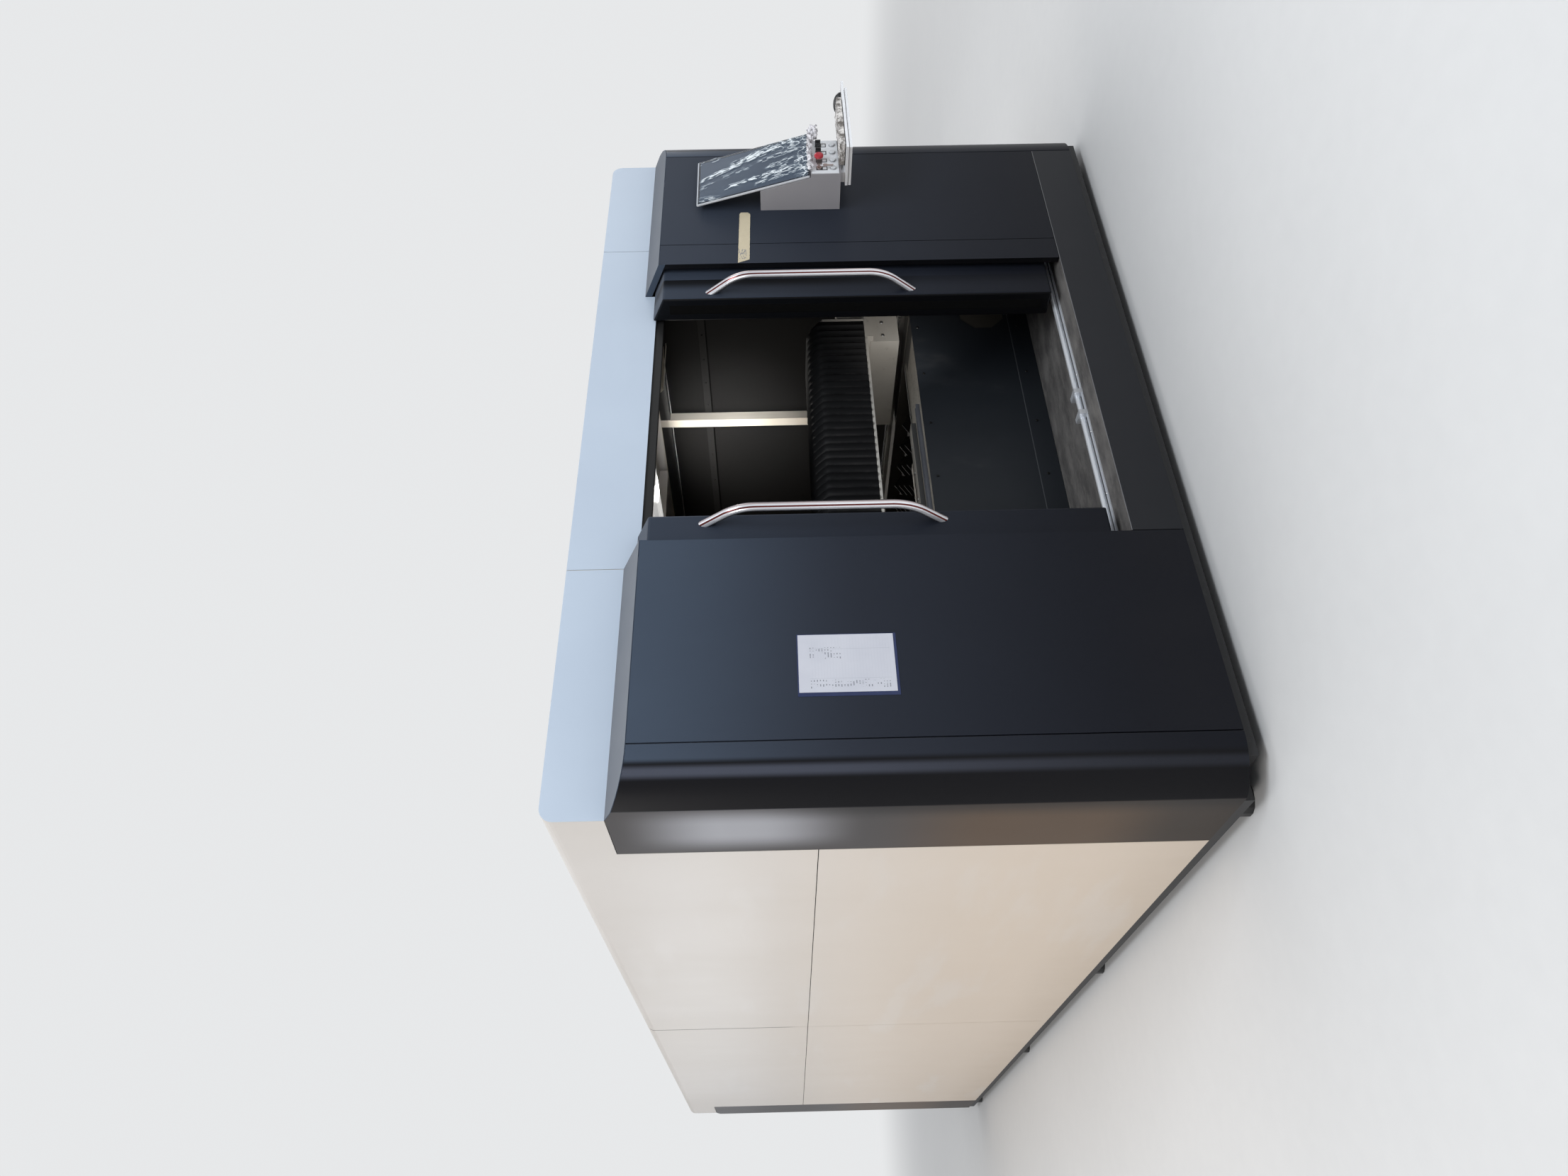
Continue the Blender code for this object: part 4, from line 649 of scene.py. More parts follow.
rise = PROUD - CREASE
roll = (ROLL_RUN ** 2 + rise ** 2) / (2 * rise)
lean = asin((roll - rise) / roll)
turns = [pi + lean + (pi / 2 - lean) * i / 40 for i in range(41)]
curve = [(ROLL_RUN + roll * cos(turn), roll - PROUD + roll * sin(turn)) for turn in turns]
wrap_plan = [Vector((0, WRAP_LENGTH))] + eased([(0, 0), (0, -CREASE), curve[1]], 0.004)
wrap_plan += [Vector(spot) for spot in curve[2:-2]]
wrap_plan += eased([curve[-2], (WRAP_RUN, -PROUD), (WRAP_RUN, -PROUD + 0.024)], 0.003)
tops = [FASCIA_BOTTOM + SHOULDER_SLOPE * min(y, 0) - 0.0025 for x, y in wrap_plan]
for node, side, way, datum in (("left_corner_wrap", -1, 1, FRONT_Y), ("right_corner_wrap", 1, 1, FRONT_Y),
                               ("rear_left_wrap", -1, -1, REAR_Y), ("rear_right_wrap", 1, -1, REAR_Y)):
    plan = [Vector((side * (CABIN_SIDE - inset), datum + way * y)) for inset, y in wrap_plan]
    bent = upright_sheet(plan, SKIRT_BOTTOM, tops, SHEET * side * way)
    if datum == REAR_Y:
        rim = [(spot, top) for spot, top, (x, y) in zip(plan, tops, wrap_plan) if y <= -CREASE / 2]
        lid = [[bent.verts.new((spot.x, spot.y + way * inward, top - drop)) for spot, top in rim]
               for inward, drop in ((0.0005, 0.0), (0.0005, 0.003))]
        wall = [[bent.verts.new((spot.x, datum + 0.0003, FASCIA_BOTTOM - 0.0025 - drop)) for spot, top in rim]
                for drop in (0.0, 0.003)]
        for a, b in ((lid[0], wall[0]), (wall[0], wall[1]), (wall[1], lid[1]), (lid[1], lid[0])):
            for i in range(len(rim) - 1):
                bent.faces.new((a[i], b[i], b[i + 1], a[i + 1]))
        for i in (0, -1):
            bent.faces.new((lid[0][i], wall[0][i], wall[1][i], lid[1][i]))
        bmesh.ops.recalc_face_normals(bent, faces=bent.faces)
    rolled_wrap = piece(node + "_sheet", bent, wrap_coat, "cabin", 25)
    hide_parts(node)

# Sill and doorway floor: one folded sheet that people step on, so its top is scuffed and grey
# with dust while the upright face stays clean.
sill_coat = Finish("sill_scuffed_powder", Specular_IOR_Level=0.32)
upper = sill_coat.facing("Z").over(0.5, 0.9)
scuff = sill_coat.cloud(4.5, 7, 0.68, (1, 2.2, 1))
trodden = sill_coat.cloud(18, 6, 0.7, (0.6, 1.6, 1)).over(0.48, 0.7)
dusty = sill_coat.mix((0.066, 0.062, 0.061), (0.170, 0.161, 0.153), scuff.over(0.3, 0.75))
dusty = sill_coat.mix(dusty, (0.24, 0.225, 0.205), trodden * 0.35)
bare = sill_coat.mix((0.0085, 0.009, 0.0115), (0.012, 0.013, 0.017), sill_coat.cloud(1.1, 4))
# A pale line along the front top edge: a painted edge highlight, partly wear.
rim = sill_coat.along("Y").near(PANEL, 0.0018, 0.002) * sill_coat.along("Z").over(0.2455, 0.2472)
tone = sill_coat.mix(bare, dusty, upper)
sill_coat.colour(sill_coat.mix(tone, (0.26, 0.26, 0.27), rim * 0.6))
sill_coat.gloss(0.40 + upper * 0.3 + scuff * 0.1)
sill_coat.relief((scuff, 0.0012, 0.35), (sill_coat.cloud(380, 2), 0.0002, 0.5))
dress(sill_coat, "door_sill")

# Door rail: round steel bar on a foot strip, bright from the rollers, with two clamped stops
# where the leaves meet and countersunk screws along the foot.
rail_bright = Finish("rail_ground_steel", Metallic=0.6)
worn = rail_bright.cloud(6, 3, 0.5, (0.2, 1, 1))
tone = rail_bright.mix((0.78, 0.81, 0.86), (0.92, 0.94, 0.97), worn.over(0.3, 0.7))
# Painted shadow: the foot strip under and behind the bar is painted near black.
foot = rail_bright.along("Z").over(0.2535, 0.2530) * rail_bright.along("Y").over(-2.7515, -2.7500)
rail_bright.colour(rail_bright.mix(tone, (0.020, 0.020, 0.022), foot * 0.95)).gloss(0.24 + worn * 0.1)
dress(rail_bright, "door_rail")
merged("rail_foot_screws", [row((-1.35, -2.74 + shift, 0.2531), 10, (0.3, 0.0, 0.0), 0.0045, 0.002)
                            for shift in (-0.0165, 0.0165)], "cabin")

# Door leaves: thick folded shells that roll on the rail, same dark coat, with a rubber strip on
# each meeting edge.
# The leaves get painted shade where they face into the doorway and beside the right panel.
leaf_coat = powder_dark("leaf_dark_powder", 0.25, 0.6, 0.35, 0.92)
dress(leaf_coat, "left_door_leaf", "right_door_leaf")
seal_rubber = two_tone("black_seal_rubber", (0.003, 0.003, 0.003), (0.006, 0.006, 0.006), 60, 4, 0.7,
                       Specular_IOR_Level=0.06)
seal_rubber.relief((seal_rubber.cloud(500, 2), 0.0003, 0.4))
for hand, side, edge in (("left", 1, -0.572), ("right", -1, 0.549)):
    near, far = sorted((edge, edge + side * 0.0011))
    strip = block((near, -2.80, 0.33), (far, -2.755, 1.86), 0.0004, 1)
    piece(hand + "_meeting_seal", strip, seal_rubber, hand + "_door", 30)

# Handles: stainless tube bent at both ends, brushed along its length and then polished.  Its colour
# is painted reflection: pale towards the hall, a warm strip of the hall floor down its side, and
# painted shade where the tube turns away.
handle_steel = Finish("handle_polished_tube", Metallic=0.55)
# Painted reflection and shade across the tube, set by the way each side faces.
across = handle_steel.facing("X") * 0.78 - handle_steel.facing("Y") * 0.63
painted_floor_reflection = across.near(-0.02, 0.13, 0.09)
painted_warm_reflection = across.over(0.45, 0.62)
painted_rim_shade = abs(across).over(0.70, 0.88)
grain = handle_steel.cloud(900, 2, 0.5, (1, 1, 0.02))
bright = handle_steel.mix((0.90, 0.90, 0.94), (0.97, 0.97, 1.0), grain)
bright = handle_steel.mix(bright, (0.50, 0.36, 0.34), painted_warm_reflection * 0.7)
bright = handle_steel.mix(bright, (0.13, 0.018, 0.014), painted_floor_reflection)
handle_steel.colour(handle_steel.mix(bright, (0.04, 0.038, 0.045), painted_rim_shade * 0.9))
handle_steel.gloss(0.16 + grain * 0.08)
LEAF_FACE, GRIP_OUT, TUBE_RADIUS, TUBE_SIDES = -2.8353, -2.921, 0.016, 32
for hand, x in (("left", -0.610), ("right", 0.587)):
    path = eased([(x, LEAF_FACE, 0.878), (x, GRIP_OUT, 0.992), (x, GRIP_OUT, 1.570), (x, LEAF_FACE, 1.684)],
                 0.062, 16)
    bar = bmesh.new()
    rings = []
    for i, here in enumerate(path):
        along = (path[min(i + 1, len(path) - 1)] - path[max(i - 1, 0)]).normalized()
        out = along.cross(Vector((1, 0, 0)))
        turns = [2 * pi * k / TUBE_SIDES for k in range(TUBE_SIDES)]
        ring = [here + TUBE_RADIUS * (Vector((cos(turn), 0, 0)) + out * sin(turn)) for turn in turns]
        if i in (0, len(path) - 1):
            ring = [spot + along * (here.y - spot.y) / along.y for spot in ring]
        rings.append([bar.verts.new(spot) for spot in ring])
    for low, up in zip(rings, rings[1:]):
        for k in range(TUBE_SIDES):
            bar.faces.new((low[k - 1], low[k], up[k], up[k - 1]))
    bar.faces.new(rings[0])
    bar.faces.new(rings[-1])
    bmesh.ops.recalc_face_normals(bar, faces=bar.faces)
    grip = piece(hand + "_handle_tube", bar, handle_steel, hand + "_door", 40)
    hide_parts(hand + "_door_handle")


def turned(profile, steps=32, centre=(0, 0, 0), turn=Matrix.Identity(4), into=None):
    """Lathed body: radius and height pairs from the bottom up, closed on its axis."""
    shape = into or bmesh.new()
    rings = []
    spin = Matrix.Translation(centre) @ turn
    for radius, height in profile:
        turns = [2 * pi * i / steps for i in range(steps if radius else 1)]
        rings.append([shape.verts.new(spin @ Vector((radius * cos(turn), radius * sin(turn), height)))
                      for turn in turns])
    for low, high in zip(rings, rings[1:]):
        for i in range(steps):
            k = (i + 1) % steps
            corners = [low[i % len(low)], low[k % len(low)], high[k % len(high)], high[i % len(high)]]
            face = list(dict.fromkeys(corners))
            if len(face) > 2:
                shape.faces.new(face)
    return shape


toward_front = Matrix.Rotation(pi / 2, 4, "X")

# Machine bed: stress-relieved weldment with beige enamel, with dust and slag crumbs on what lies
# level and painted shade in near black on its side beams, its right front corner and inside;
# guide rails and racks for the gantry run along both long beams.
bed_enamel = Finish("bed_beige_enamel")
level = bed_enamel.facing("Z").over(0.6, 0.9)
crumbs = bed_enamel.cloud(90, 6, 0.7).over(0.52, 0.66)
stain = bed_enamel.cloud(3.2, 6, 0.65)
clean = bed_enamel.mix((0.36, 0.325, 0.27), (0.47, 0.43, 0.36), stain)
dirty = bed_enamel.mix((0.12, 0.105, 0.088), (0.25, 0.225, 0.19), stain.over(0.3, 0.7))
tone = bed_enamel.mix(clean, dirty, level * 0.85)
tone = bed_enamel.mix(tone, (0.05, 0.045, 0.04), crumbs * level * 0.6)
RAIL_X, RAIL_FOOT, RACK_IN, RACK_OUT = 1.13, 0.8005, 1.080, 1.096
beside, behind = abs(bed_enamel.along("X")), bed_enamel.along("Y")
# Painted shade: near black on the side beams, the right front corner and the inside behind the front end.
side_beam = beside.over(0.92, 0.925) * beside.over(1.095, 1.090) * behind.over(-2.19, -2.185)
front_corner = bed_enamel.along("X").over(0.845, 0.865) * behind.over(-2.10, -2.11)
inside = beside.over(0.925, 0.920) * behind.over(-2.085, -2.080)
painted_inner_shade = (side_beam + front_corner + inside).maths("MINIMUM", 1.0)
tone = bed_enamel.mix(tone, (0.010, 0.0095, 0.009), painted_inner_shade * 0.93)
rail_zone = beside.near(RAIL_X, 0.0155, 0.0005) * bed_enamel.along("Z").over(RAIL_FOOT, RAIL_FOOT + 0.0015)
bed_enamel.colour(bed_enamel.mix(tone, (0.52, 0.53, 0.54), rail_zone))
bed_enamel.lay("Metallic", rail_zone)
bed_enamel.gloss((0.5 + level * 0.25) * (1 - rail_zone) + rail_zone * 0.25)
bed_enamel.relief((bed_enamel.cloud(70, 4), 0.0008, 0.4))
dress(bed_enamel, "machine_bed")

rack_steel = Finish("rack_oiled_steel", Metallic=1.0)
oil = rack_steel.cloud(12, 4)
rack_steel.colour(rack_steel.mix((0.22, 0.21, 0.20), (0.40, 0.39, 0.37), oil)).gloss(0.3 + oil * 0.25)
rack = Jig("toothed_rack", {"First": (0.0, 0.0, 0.0), "Number": 480, "Pitch": 0.01, "Width": 0.012,
                            "Height": 0.006})
teeth = rack.add("GeometryNodeMeshLine", {"mode": "OFFSET"},
                 {"Count": rack.size("Number"), "Start Location": rack.size("First"),
                  "Offset": rack.add("ShaderNodeCombineXYZ", {}, {"Y": rack.size("Pitch")})})
tooth = rack.add("GeometryNodeMeshCube", {}, {"Size": rack.add("ShaderNodeCombineXYZ", {},
                 {"X": rack.size("Width"), "Y": rack.size("Pitch") * 0.5, "Z": rack.size("Height")})})
rack.end(rack.add("GeometryNodeInstanceOnPoints", {}, {"Points": teeth, "Instance": tooth}), rack_steel)
for hand, side in (("left", -1), ("right", 1)):
    low, high = sorted((side * RACK_OUT, side * RACK_IN))
    bar = block((low, -2.30, 0.8003), (high, 2.58, 0.8155), 0.0008, 1)
    piece(hand + "_rack_bar", bar, rack_steel, "cabin", 30)
    rack.run(hand + "_rack_teeth", rack_steel, "cabin", smooth=None,
             First=(side * (RACK_IN + RACK_OUT) / 2, -2.295, 0.8185), Number=487, Pitch=0.01,
             Width=0.0155, Height=0.0058)

# Bed front cover: a dark sheet over the weldment's front, its foot doubled by a kick strip, with
# a window cut at the right where a clamp passes in service.
cover_black = Finish("cover_black_sheet", Specular_IOR_Level=0.4)
rub = cover_black.cloud(5, 6, 0.65, (1, 1, 0.4))
tone = cover_black.mix((0.006, 0.008, 0.011), (0.014, 0.017, 0.022), cover_black.cloud(1.4, 4))
# Painted highlight: a pale line along the step in the sheet.
painted_step_highlight = cover_black.along("Z").near(0.3395, 0.0012, 0.0010)
tone = cover_black.mix(tone, (0.05, 0.05, 0.052), rub.over(0.55, 0.8) * 0.35)
cover_black.colour(cover_black.mix(tone, (0.075, 0.078, 0.084), painted_step_highlight * 0.8))
cover_black.gloss(0.45 + rub * 0.2).relief((cover_black.cloud(300, 3), 0.0003, 0.4))
dress(cover_black, "bed_front_plate")
merged("front_cover_screws", [row((-1.2, y, z), 9, (0.3, 0.0, 0.0), 0.006, 0.003, FACING_FRONT)
                              for y, z in ((-2.3473, 0.305), (-2.3458, 0.765))], "cabin", blackened)

# Seats on the bed's front beam: a blue-grey steel channel and two low worn bars, bolted down
# where the pallet is clamped.
worn_grey = Finish("worn_grey_bar")
dirt = worn_grey.cloud(28, 6, 0.65, (0.25, 1, 1))
tone = worn_grey.mix((0.16, 0.145, 0.125), (0.30, 0.28, 0.25), dirt)
# Painted shade: the bars' sides are near black, and only what faces up shows the worn tone.
worn_grey.colour(worn_grey.mix((0.05, 0.05, 0.05), tone, worn_grey.facing("Z").over(0.2, 0.8)))
worn_grey.gloss(0.5 + dirt * 0.2).relief((dirt, 0.0008, 0.4))
blue_grey = Finish("blue_grey_strip", Metallic=0.4)
wear = blue_grey.cloud(40, 5, 0.65, (0.15, 1, 1))
blue_grey.colour(blue_grey.mix((0.07, 0.075, 0.09), (0.16, 0.165, 0.185), wear)).gloss(0.42 + wear * 0.2)
rails = bmesh.new()
block((-1.18, -2.302, 0.7953), (0.456, -2.292, 0.8115), 0.0010, 2, rails)
block((-1.18, -2.276, 0.7953), (0.456, -2.266, 0.8115), 0.0010, 2, rails)
block((-1.18, -2.293, 0.7953), (0.456, -2.275, 0.8010), 0.0010, 1, rails)
piece("clamp_channel", rails, blue_grey, "cabin", 30)
bars = bmesh.new()
block((-1.05, -2.165, 0.7953), (0.470, -2.095, 0.8180), 0.0020, 2, bars)
block((-0.85, -1.972, 0.7453), (0.400, -1.930, 0.7990), 0.0020, 2, bars)
piece("clamp_bars", bars, worn_grey, "cabin", 30)
merged("clamp_strip_screws", [row((-1.14, -2.284, 0.8023), 17, (0.098, 0.0, 0.0), 0.006, 0.0028),
                              row((-1.0, -2.130, 0.8193), 10, (0.15, 0.0, 0.0), 0.007, 0.0028)], "cabin")

# Cutting pallet: tube frame with toothed slats, once blue-grey and now burnt: heat colours and
# spatter round the teeth, rust where the paint is gone.
pallet_steel = Finish("pallet_burnt_steel", Specular_IOR_Level=0.25)
height = pallet_steel.along("Z")
tips = height.over(0.755, 0.795)
spatter = pallet_steel.cloud(75, 7, 0.7)
rust = pallet_steel.cloud(9, 6, 0.65).over(0.48, 0.7)
tone = pallet_steel.mix((0.006, 0.006, 0.0065), (0.015, 0.0145, 0.0145), spatter)
tone = pallet_steel.mix(tone, (0.040, 0.022, 0.014), rust * (0.20 + tips * 0.2))
tone = pallet_steel.mix(tone, (0.050, 0.048, 0.046), tips * spatter.over(0.50, 0.66) * 0.6)
pallet_steel.colour(tone).gloss(0.6 + spatter * 0.25)
pallet_steel.lay("Metallic", tips * 0.3)
pallet_steel.relief((spatter, 0.0012, 0.35))
dress(pallet_steel, "cutting_pallet")


# Gantry: a cast and machined beam on two end carriages, light grey-beige enamel, with ground
# guide rails on its front and bolted end plates.
gantry_enamel = Finish("gantry_light_enamel")
wipe = gantry_enamel.cloud(4.0, 6, 0.65, (1, 1, 0.6))
tone = gantry_enamel.mix((0.47, 0.445, 0.40), (0.58, 0.555, 0.51), wipe)
soot = gantry_enamel.cloud(22, 5, 0.7).over(0.58, 0.75)
tone = gantry_enamel.mix(tone, (0.20, 0.18, 0.15), soot * 0.4)
ground_rail = gantry_enamel.along("Y").over(-2.1555, -2.1565) * gantry_enamel.along("Y").over(-2.182, -2.176)
ground_rail = ground_rail * gantry_enamel.along("Z").over(1.024, 1.026)
ground_rail = ground_rail * abs(gantry_enamel.along("X")).over(1.068, 1.066)
gantry_enamel.colour(gantry_enamel.mix(tone, (0.55, 0.56, 0.57), ground_rail))
gantry_enamel.lay("Metallic", ground_rail)
gantry_enamel.gloss((0.42 + wipe * 0.15) * (1 - ground_rail) + ground_rail * 0.22)
gantry_enamel.relief((gantry_enamel.cloud(110, 4), 0.0005, 0.4))
dress(gantry_enamel, "gantry_beam")
rows = []
for side in (-1, 1):
    for y in (-2.18, -2.09):
        rows.append(row((side * 1.10, y, 1.1265), 3, (side * 0.055, 0.0, 0.0), 0.008, 0.004))
    rows.append(row((side * 1.115, -2.2470, 1.0935), 2, (side * 0.085, 0.0, 0.0), 0.009, 0.004, FACING_FRONT))
    rows.append(row((side * 1.03, -2.187, 0.905), 3, (side * 0.09, 0.0, 0.0), 0.009, 0.004, FACING_FRONT))
    rows.append(row((side * 1.0855, -2.21, 1.03), 6, (0.0, 0.055, 0.0), 0.005, 0.0025,
                    (0.0, side * pi / 2, 0.0)))
merged("gantry_screws", rows, "gantry")

# Bellows: coated black cloth folded over stiff frames, a long one to the right of the head and a
# packed one to its left; the crests are rubbed grey.
bellows_cloth = Finish("bellows_coated_cloth", Specular_IOR_Level=0.16)
crest = bellows_cloth.add("ShaderNodeAttribute", {"attribute_name": "crest"}, {}, "Fac")
weave = bellows_cloth.cloud(700, 2, 0.5)
rubbed = bellows_cloth.cloud(7, 5, 0.65)
tone = bellows_cloth.mix((0.0030, 0.0031, 0.0036), (0.0060, 0.0060, 0.0066), rubbed)
tone = bellows_cloth.mix(tone, (0.022, 0.021, 0.021), crest.over(0.80, 0.99) * rubbed.over(0.30, 0.7))
bellows_cloth.colour(tone).gloss(0.55 + weave * 0.2).relief((weave, 0.0002, 0.5))

pleats = Jig("pleated_cover", {"Start": 0.0, "Length": 1.0, "Folds": 40.0, "Depth": 0.018, "Columns": 320,
                               "Rows": 40})
section = pleats.add("GeometryNodeMeshToCurve", {}, {"Mesh": Tone(pleats, pleats.given.outputs["Geometry"])})
cloth = pleats.add("GeometryNodeMeshGrid", {}, {"Size X": 1.0, "Size Y": 1.0,
                                               "Vertices X": pleats.size("Columns"),
                                               "Vertices Y": pleats.size("Rows")})
spot = pleats.add("GeometryNodeInputPosition", {}, {})
share_x = pleats.add("ShaderNodeSeparateXYZ", {}, {0: spot}, 0) + 0.5
share_y = pleats.add("ShaderNodeSeparateXYZ", {}, {0: spot}, 1) + 0.5
on_line = pleats.add("GeometryNodeSampleCurve", {"mode": "FACTOR"}, {"Curves": section, "Factor": share_y},
                     "Position")
tangent = Tone(pleats, on_line.socket.node.outputs["Tangent"])
wave = share_x * pleats.size("Folds") * pi
fold = abs(wave.maths("SINE")) ** 0.75
hem = share_x.over(0.0, 0.5 / 40) * share_x.over(1.0, 1 - 0.5 / 40)
raised = 1 - (1 - fold) * hem
inward = pleats.add("ShaderNodeVectorMath", {"operation": "CROSS_PRODUCT"}, {0: tangent, 1: (1.0, 0.0, 0.0)})
sunk = pleats.add("ShaderNodeVectorMath", {"operation": "SCALE"},
                  {0: inward, "Scale": (1 - raised) * pleats.size("Depth") * -1.0})
where = pleats.add("ShaderNodeVectorMath", {"operation": "ADD"}, {0: on_line, 1: sunk})
across = pleats.add("ShaderNodeCombineXYZ", {}, {"X": pleats.size("Start") + share_x * pleats.size("Length")})
where = pleats.add("ShaderNodeVectorMath", {"operation": "ADD"}, {0: where, 1: across})
kept = pleats.add("GeometryNodeStoreNamedAttribute", {"data_type": "FLOAT", "domain": "POINT"},
                  {"Geometry": cloth, "Name": "crest", "Value": raised})
shaped = pleats.add("GeometryNodeSetPosition", {}, {"Geometry": kept, "Position": where})
pleats.end(shaped, bellows_cloth)


def cover_section():
    """Upright section of the bellows as a line of points with eased corners."""
    corners = [(0, -2.2440, 1.0010), (0, -2.2440, 1.2150), (0, -2.1840, 1.2610), (0, -1.8960, 1.2610)]
    points = eased(corners, 0.012)
    line = bpy.data.meshes.new("cover_section")
    line.from_pydata(points, [(i, i + 1) for i in range(len(points) - 1)], [])
    return line


GANTRY_END, HEAD_LEFT, HEAD_RIGHT, PLEAT_DEPTH = 1.0695, -0.9205, -0.6195, 0.016
right_cover = pleats.run("right_pleated_cover", bellows_cloth, "gantry", cover_section(), 60,
                         Start=HEAD_RIGHT, Length=GANTRY_END - HEAD_RIGHT, Folds=40.0,
                         Depth=PLEAT_DEPTH, Columns=401, Rows=36)
left_cover = pleats.run("left_pleated_cover", bellows_cloth, None, cover_section(), 60,
                        Start=-GANTRY_END, Length=HEAD_LEFT + GANTRY_END, Folds=9.0,
                        Depth=PLEAT_DEPTH, Columns=145, Rows=36)
for cover, node in ((right_cover, "right_bellows"), (left_cover, "left_bellows")):
    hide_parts(node)
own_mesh(right_cover)
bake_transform(left_cover)


# Head carriage and cutting head: white-painted housing with a screwed front cover over the lift
# screw, and below it the steel optics barrel with its ceramic ring and copper nozzle.
head_white = Finish("head_white_paint")
wipe = head_white.cloud(6, 5)
head_white.colour(head_white.mix((0.70, 0.71, 0.72), (0.80, 0.80, 0.80), wipe)).gloss(0.35 + wipe * 0.15)
head_white.relief((head_white.cloud(350, 2), 0.0002, 0.4))
dress(head_white, "head_carriage")
head_steel = Finish("head_brushed_steel", Metallic=1.0)
grain = head_steel.cloud(500, 3, 0.5, (1, 1, 0.04))
head_steel.colour(head_steel.mix((0.38, 0.39, 0.41), (0.58, 0.59, 0.61), grain)).gloss(0.25 + grain * 0.2)
head_steel.relief((grain, 0.0001, 0.4))
dress(head_steel, "cutting_head")
copper = Finish("nozzle_copper", Metallic=1.0)
heat = copper.along("Z").over(0.955, 0.93)
copper.colour(copper.mix((0.78, 0.45, 0.26), (0.30, 0.16, 0.14), heat * copper.cloud(200, 3)))
copper.gloss(0.22 + heat * 0.3)
dress(copper, "nozzle")
HEAD_X, HEAD_Y = -0.77, -2.355
trim = block((HEAD_X - 0.070, -2.3225, 1.075), (HEAD_X + 0.070, -2.3203, 1.425), 0.0008, 1)
for inner in (-0.145, 0.090):
    block((HEAD_X + inner, -2.2600, 1.215), (HEAD_X + inner + 0.055, -2.2573, 1.255), 0.0006, 1, trim)
piece("lift_cover_plate", trim, head_steel, "head_carriage", 30)
merged("lift_cover_screws", [row((HEAD_X + shift, -2.3240, 1.09), 5, (0.0, 0.0, 0.08), 0.005, 0.0025,
                                 FACING_FRONT) for shift in (-0.058, 0.058)], "head_carriage")
collar = turned([(0.0, 1.056), (0.0335, 1.056), (0.0335, 1.066), (0.031, 1.068), (0.031, 1.076),
                 (0.0335, 1.078), (0.0335, 1.0855), (0.0, 1.0855)], 40, (HEAD_X, HEAD_Y, 0))
piece("optics_collar", collar, head_steel, "cutting_head", 30)
ceramic = two_tone("white_ceramic_ring", (0.78, 0.76, 0.72), (0.85, 0.84, 0.81), 300, 2, 0.3)
ring = turned([(0.0145, 0.9725), (0.0175, 0.9735), (0.0175, 0.9840), (0.0145, 0.9855)], 36,
              (HEAD_X, HEAD_Y, 0))
piece("nozzle_ceramic", ring, ceramic, "cutting_head", 30)

# Work lamp: a long diffuser under the roof, bright at its near end, on a white backing bar.
lamp_glow = Finish("lamp_lit_diffuser", Emission_Strength=12.0)
lit = lamp_glow.facing("Z").over(0.2, -0.5)
LAMP_NEAR_END = -0.985
hot = lamp_glow.along("Y").near(LAMP_NEAR_END, 0.030, 0.055)
lamp_glow.colour((0.85, 0.85, 0.83)).gloss(0.4)
lamp_glow.lay("Emission Color",
               lamp_glow.mix((0.03, 0.03, 0.03), (1.0, 0.97, 0.90), lit * (0.018 + 0.982 * hot)))
dress(lamp_glow, "work_lamp")


# Operator console: a folded box in warm grey on the right front panel, with a ledge that the
# monitor stands on.  Fittings are placed from the corner of the face they are on.
console_grey = Finish("console_grey_powder")
speck = console_grey.cloud(120, 4)
tone = console_grey.mix((0.285, 0.272, 0.285), (0.345, 0.332, 0.342), console_grey.cloud(2.2, 4))
console_grey.colour(console_grey.mix(tone, (0.36, 0.34, 0.34), speck.over(0.62, 0.75) * 0.3))
console_grey.gloss(0.42 + speck * 0.12).relief((console_grey.cloud(420, 2), 0.0002, 0.5))
dress(console_grey, "console_box")
TILT = radians(15.3)
FACE = Matrix.Translation((1.059, -3.049, 1.147))
STAND = Matrix.Translation((1.059, -3.0295, 1.265)) @ Matrix.Rotation(-TILT, 4, "X")


def on_face(shape, where=FACE):
    """Moves a shape drawn flat on the console or its monitor to its place in the machine."""
    bmesh.ops.transform(shape, matrix=where, verts=shape.verts)
    return shape


# Button plate: white sheet screwed to the face.  Each switch of the upper row has a black frame
# that holds a blank legend card under it; the lower push buttons are milky, in grey rings.
plate_white = two_tone("button_plate_white", (0.74, 0.76, 0.79), (0.80, 0.81, 0.83), 9, 4, 0.3)
plate_white.relief((plate_white.cloud(600, 2), 0.0001, 0.3))
dress(plate_white, "button_panel")
black_plastic = two_tone("black_moulded_plastic", (0.012, 0.012, 0.013), (0.024, 0.024, 0.025), 80, 4, 0.38)
black_plastic.relief((black_plastic.cloud(900, 2), 0.0001, 0.5))
COLUMNS = (0.034, 0.0885, 0.143, 0.1975)
UPPER_ROW, LOWER_ROW = 0.083, 0.024
OUT = -0.0033
FRAME_BARS = ((-0.0125, 0.0125, -0.0345, -0.0310), (-0.0125, 0.0125, -0.0150, -0.0095),
              (-0.0125, -0.0090, -0.0310, -0.0150), (0.0090, 0.0125, -0.0310, -0.0150),
              (-0.0125, -0.0092, -0.0095, 0.0120), (0.0092, 0.0125, -0.0095, 0.0120),
              (-0.0092, 0.0092, 0.0092, 0.0120))
holders = bmesh.new()
cards = bmesh.new()
for x in COLUMNS:
    for left, right, low, high in FRAME_BARS:
        block((x + left, OUT - 0.0009, UPPER_ROW + low), (x + right, OUT - 0.0001, UPPER_ROW + high),
              into=holders)
    block((x - 0.0090, OUT - 0.0006, UPPER_ROW - 0.0310), (x + 0.0090, OUT - 0.0001, UPPER_ROW - 0.0150),
          into=cards)
piece("switch_legend_holders", on_face(holders), black_plastic, "cabin")
piece("blank_legend_cards", on_face(cards), plate_white, "cabin")
